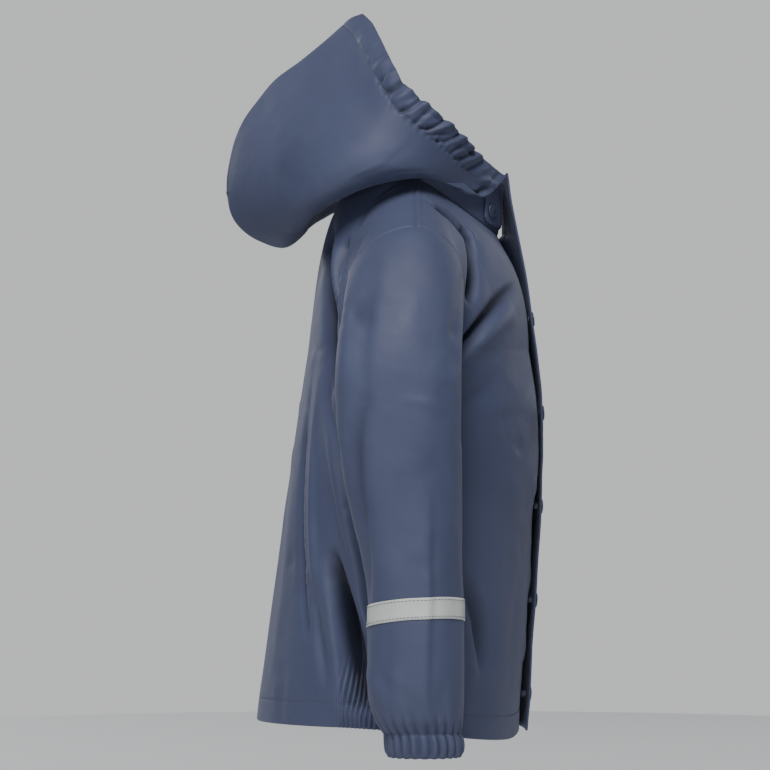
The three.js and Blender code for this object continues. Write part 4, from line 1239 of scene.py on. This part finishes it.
def make_flap():
    seams = (FLAP_STITCH, 2 * FLAP_HALF - FLAP_STITCH)
    x = stops(2 * FLAP_HALF, (0.0, *seams), FLAP_STEP) - FLAP_HALF
    up = stops(FLAP_LENGTH, (0.0, FLAP_LENGTH)) / FLAP_LENGTH
    z = mix(FLAP_LINE["z"][0], FLAP_LINE["z"][-1], up)
    x, z = np.meshgrid(x, z)
    sheet = Sheet(point(x, flap_face(x, z), z), (0, NECK_Y, ARMPIT_Z))
    across = x + FLAP_HALF
    push = crumple(across, z, FLAP_CRUMPLES, COLLAR_CRUMPLE, SEED + 5) + grooves(across, seams)
    sheet.raise_by(push)
    lines = [stitch_column(row_of(across[0], place), len(x) - 1) for place in seams]
    dress("cloth_flap", sheet, CLOTH, ["storm_flap"],
          lines, TURNED_WALL)


# Press studs

def make_cap(name, place, outward, replaced):
    """A press stud cap: its profile turned round the outward direction."""
    radius, rise = (np.array(values, float) for values in zip(*STUD_PROFILE))
    turns = np.arange(STUD_TURNS) / STUD_TURNS * 2 * math.pi
    side = unit(np.cross(outward, (0.0, 0.0, 1.0)))
    up = np.cross(outward, side)
    spin = np.cos(turns)[:, None] * side + np.sin(turns)[:, None] * up
    core = place + outward * (CAP_GAP + rise[:, None])
    rings = core[1:-1, None] + radius[1:-1, None, None] * spin[None]
    inner = len(radius) - 2
    points = np.concatenate([rings.reshape(-1, 3), core[:1], core[-1:]])
    sides = grid_faces(inner, STUD_TURNS, True)
    triangles = []
    base, top = inner * STUD_TURNS, inner * STUD_TURNS + 1
    for k in range(STUD_TURNS):
        n = (k + 1) % STUD_TURNS
        last = (inner - 1) * STUD_TURNS
        triangles += [(base, n, k), (top, last + k, last + n)]
    quads = np.concatenate([sides[:, [0, 1, 2]], sides[:, [0, 2, 3]], np.array(triangles)])
    cap = new_object(name, points, quads, STUD)
    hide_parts(replaced)
    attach(cap, BODY)


def make_studs():
    rise = TAB_STUD["rise"] / collar_rise(np.array(TAB_STUD["angle"]))
    place = collar_point(TAB_STUD["angle"], rise)
    beside = collar_point(TAB_STUD["angle"] + 1, rise)
    outward = unit(np.cross(beside - place, (0.0, 0.0, 1.0)))
    for hand, turn in ((RIGHT, 1), (LEFT, FLIP)):
        make_cap(f"cap_tab_{hand}", (place + outward * TAB_STUD["stand"]) * turn, outward * turn,
                 f"tab_stud_{hand}")
    for i in range(FLAP_STUDS):
        z = FLAP_STUD_TOP - i * FLAP_STUD_STEP
        x = FLAP_STUD_X
        face = point(x, flap_face(x, z), z)
        along_x = point(x + 1, flap_face(x + 1, z), z) - face
        along_z = point(x, flap_face(x, z + 1), z + 1) - face
        make_cap(f"cap_flap_{i + 1}", face, unit(np.cross(along_x, along_z)), f"flap_stud_{i + 1}")
        post = bpy.data.objects[f"stud_post_{i + 1}"]
        post.data.materials.clear()
        post.data.materials.append(STUD)


# Stage

def make_stage():
    mesh = bpy.data.meshes.new("floor")
    turns = np.arange(FLOOR_SIDES) * 2 * math.pi / FLOOR_SIDES
    rim = point(FLOOR_RADIUS * np.cos(turns), FLOOR_RADIUS * np.sin(turns), FLOOR_Z) * MM
    mesh.from_pydata(rim.tolist(), [], [tuple(range(FLOOR_SIDES))])
    material, shader = new_material("pale_floor")
    plug(material, shader, {"Base Color": (0.72, 0.73, 0.74, 1.0), "Roughness": 0.9})
    mesh.materials.append(material)
    add_object("floor", mesh)
    world = bpy.data.worlds.new("studio")
    world.use_nodes = True
    nodes, links = world.node_tree.nodes, world.node_tree.links
    ambient = nodes["Background"]
    ambient.inputs["Color"].default_value = (0.80, 0.83, 0.88, 1.0)
    ambient.inputs["Strength"].default_value = 0.12
    backdrop = nodes.new("ShaderNodeBackground")
    backdrop.inputs["Color"].default_value = (0.86, 0.87, 0.88, 1.0)
    backdrop.inputs["Strength"].default_value = 0.75
    choice = nodes.new("ShaderNodeMixShader")
    links.new(nodes.new("ShaderNodeLightPath").outputs["Is Camera Ray"], choice.inputs["Fac"])
    links.new(ambient.outputs["Background"], socket(choice.inputs, "Shader"))
    links.new(backdrop.outputs["Background"], socket(choice.inputs, "Shader_001"))
    links.new(choice.outputs["Shader"], nodes["World Output"].inputs["Surface"])
    bpy.context.scene.world = world


# Lights: name, place and target in metres, size in metres, power in watts
LIGHTS = [
    ("key", (-2.15, 0.3, 2.5), (0, 0, -0.15), 1.5, 127),
    ("low", (-2.6, 0.5, -0.35), (0, 0, -0.25), 0.9, 13),
    ("far_front", (1.6, -2.0, 0.9), (0, 0, -0.2), 1.2, 14),
    ("far_back", (2.0, 1.7, 0.9), (0, 0, -0.1), 1.2, 24),
]


def make_lights():
    for name, place, target, size, power in LIGHTS:
        light = bpy.data.lights.new(name, "AREA")
        light.size = size
        light.energy = power
        aim = np.array(target) - np.array(place)
        add_object(name, light, place, (math.acos(-aim[2] / np.linalg.norm(aim)), 0,
                                        math.atan2(aim[1], aim[0]) - math.pi / 2))


def make_camera():
    camera = bpy.data.cameras.new("camera")
    camera.lens = CAMERA_LENS
    camera.sensor_width = SENSOR
    camera.clip_end = 50.0
    place = [value * MM for value in CAMERA_AT]
    bpy.context.scene.camera = add_object("camera", camera, place, (math.pi / 2, 0, -math.pi / 2))


make_camera()
make_collar()
make_fronts()
make_back()
make_sleeves()
make_hoods()
make_tabs()
make_flap()
make_studs()
make_stage()
make_lights()
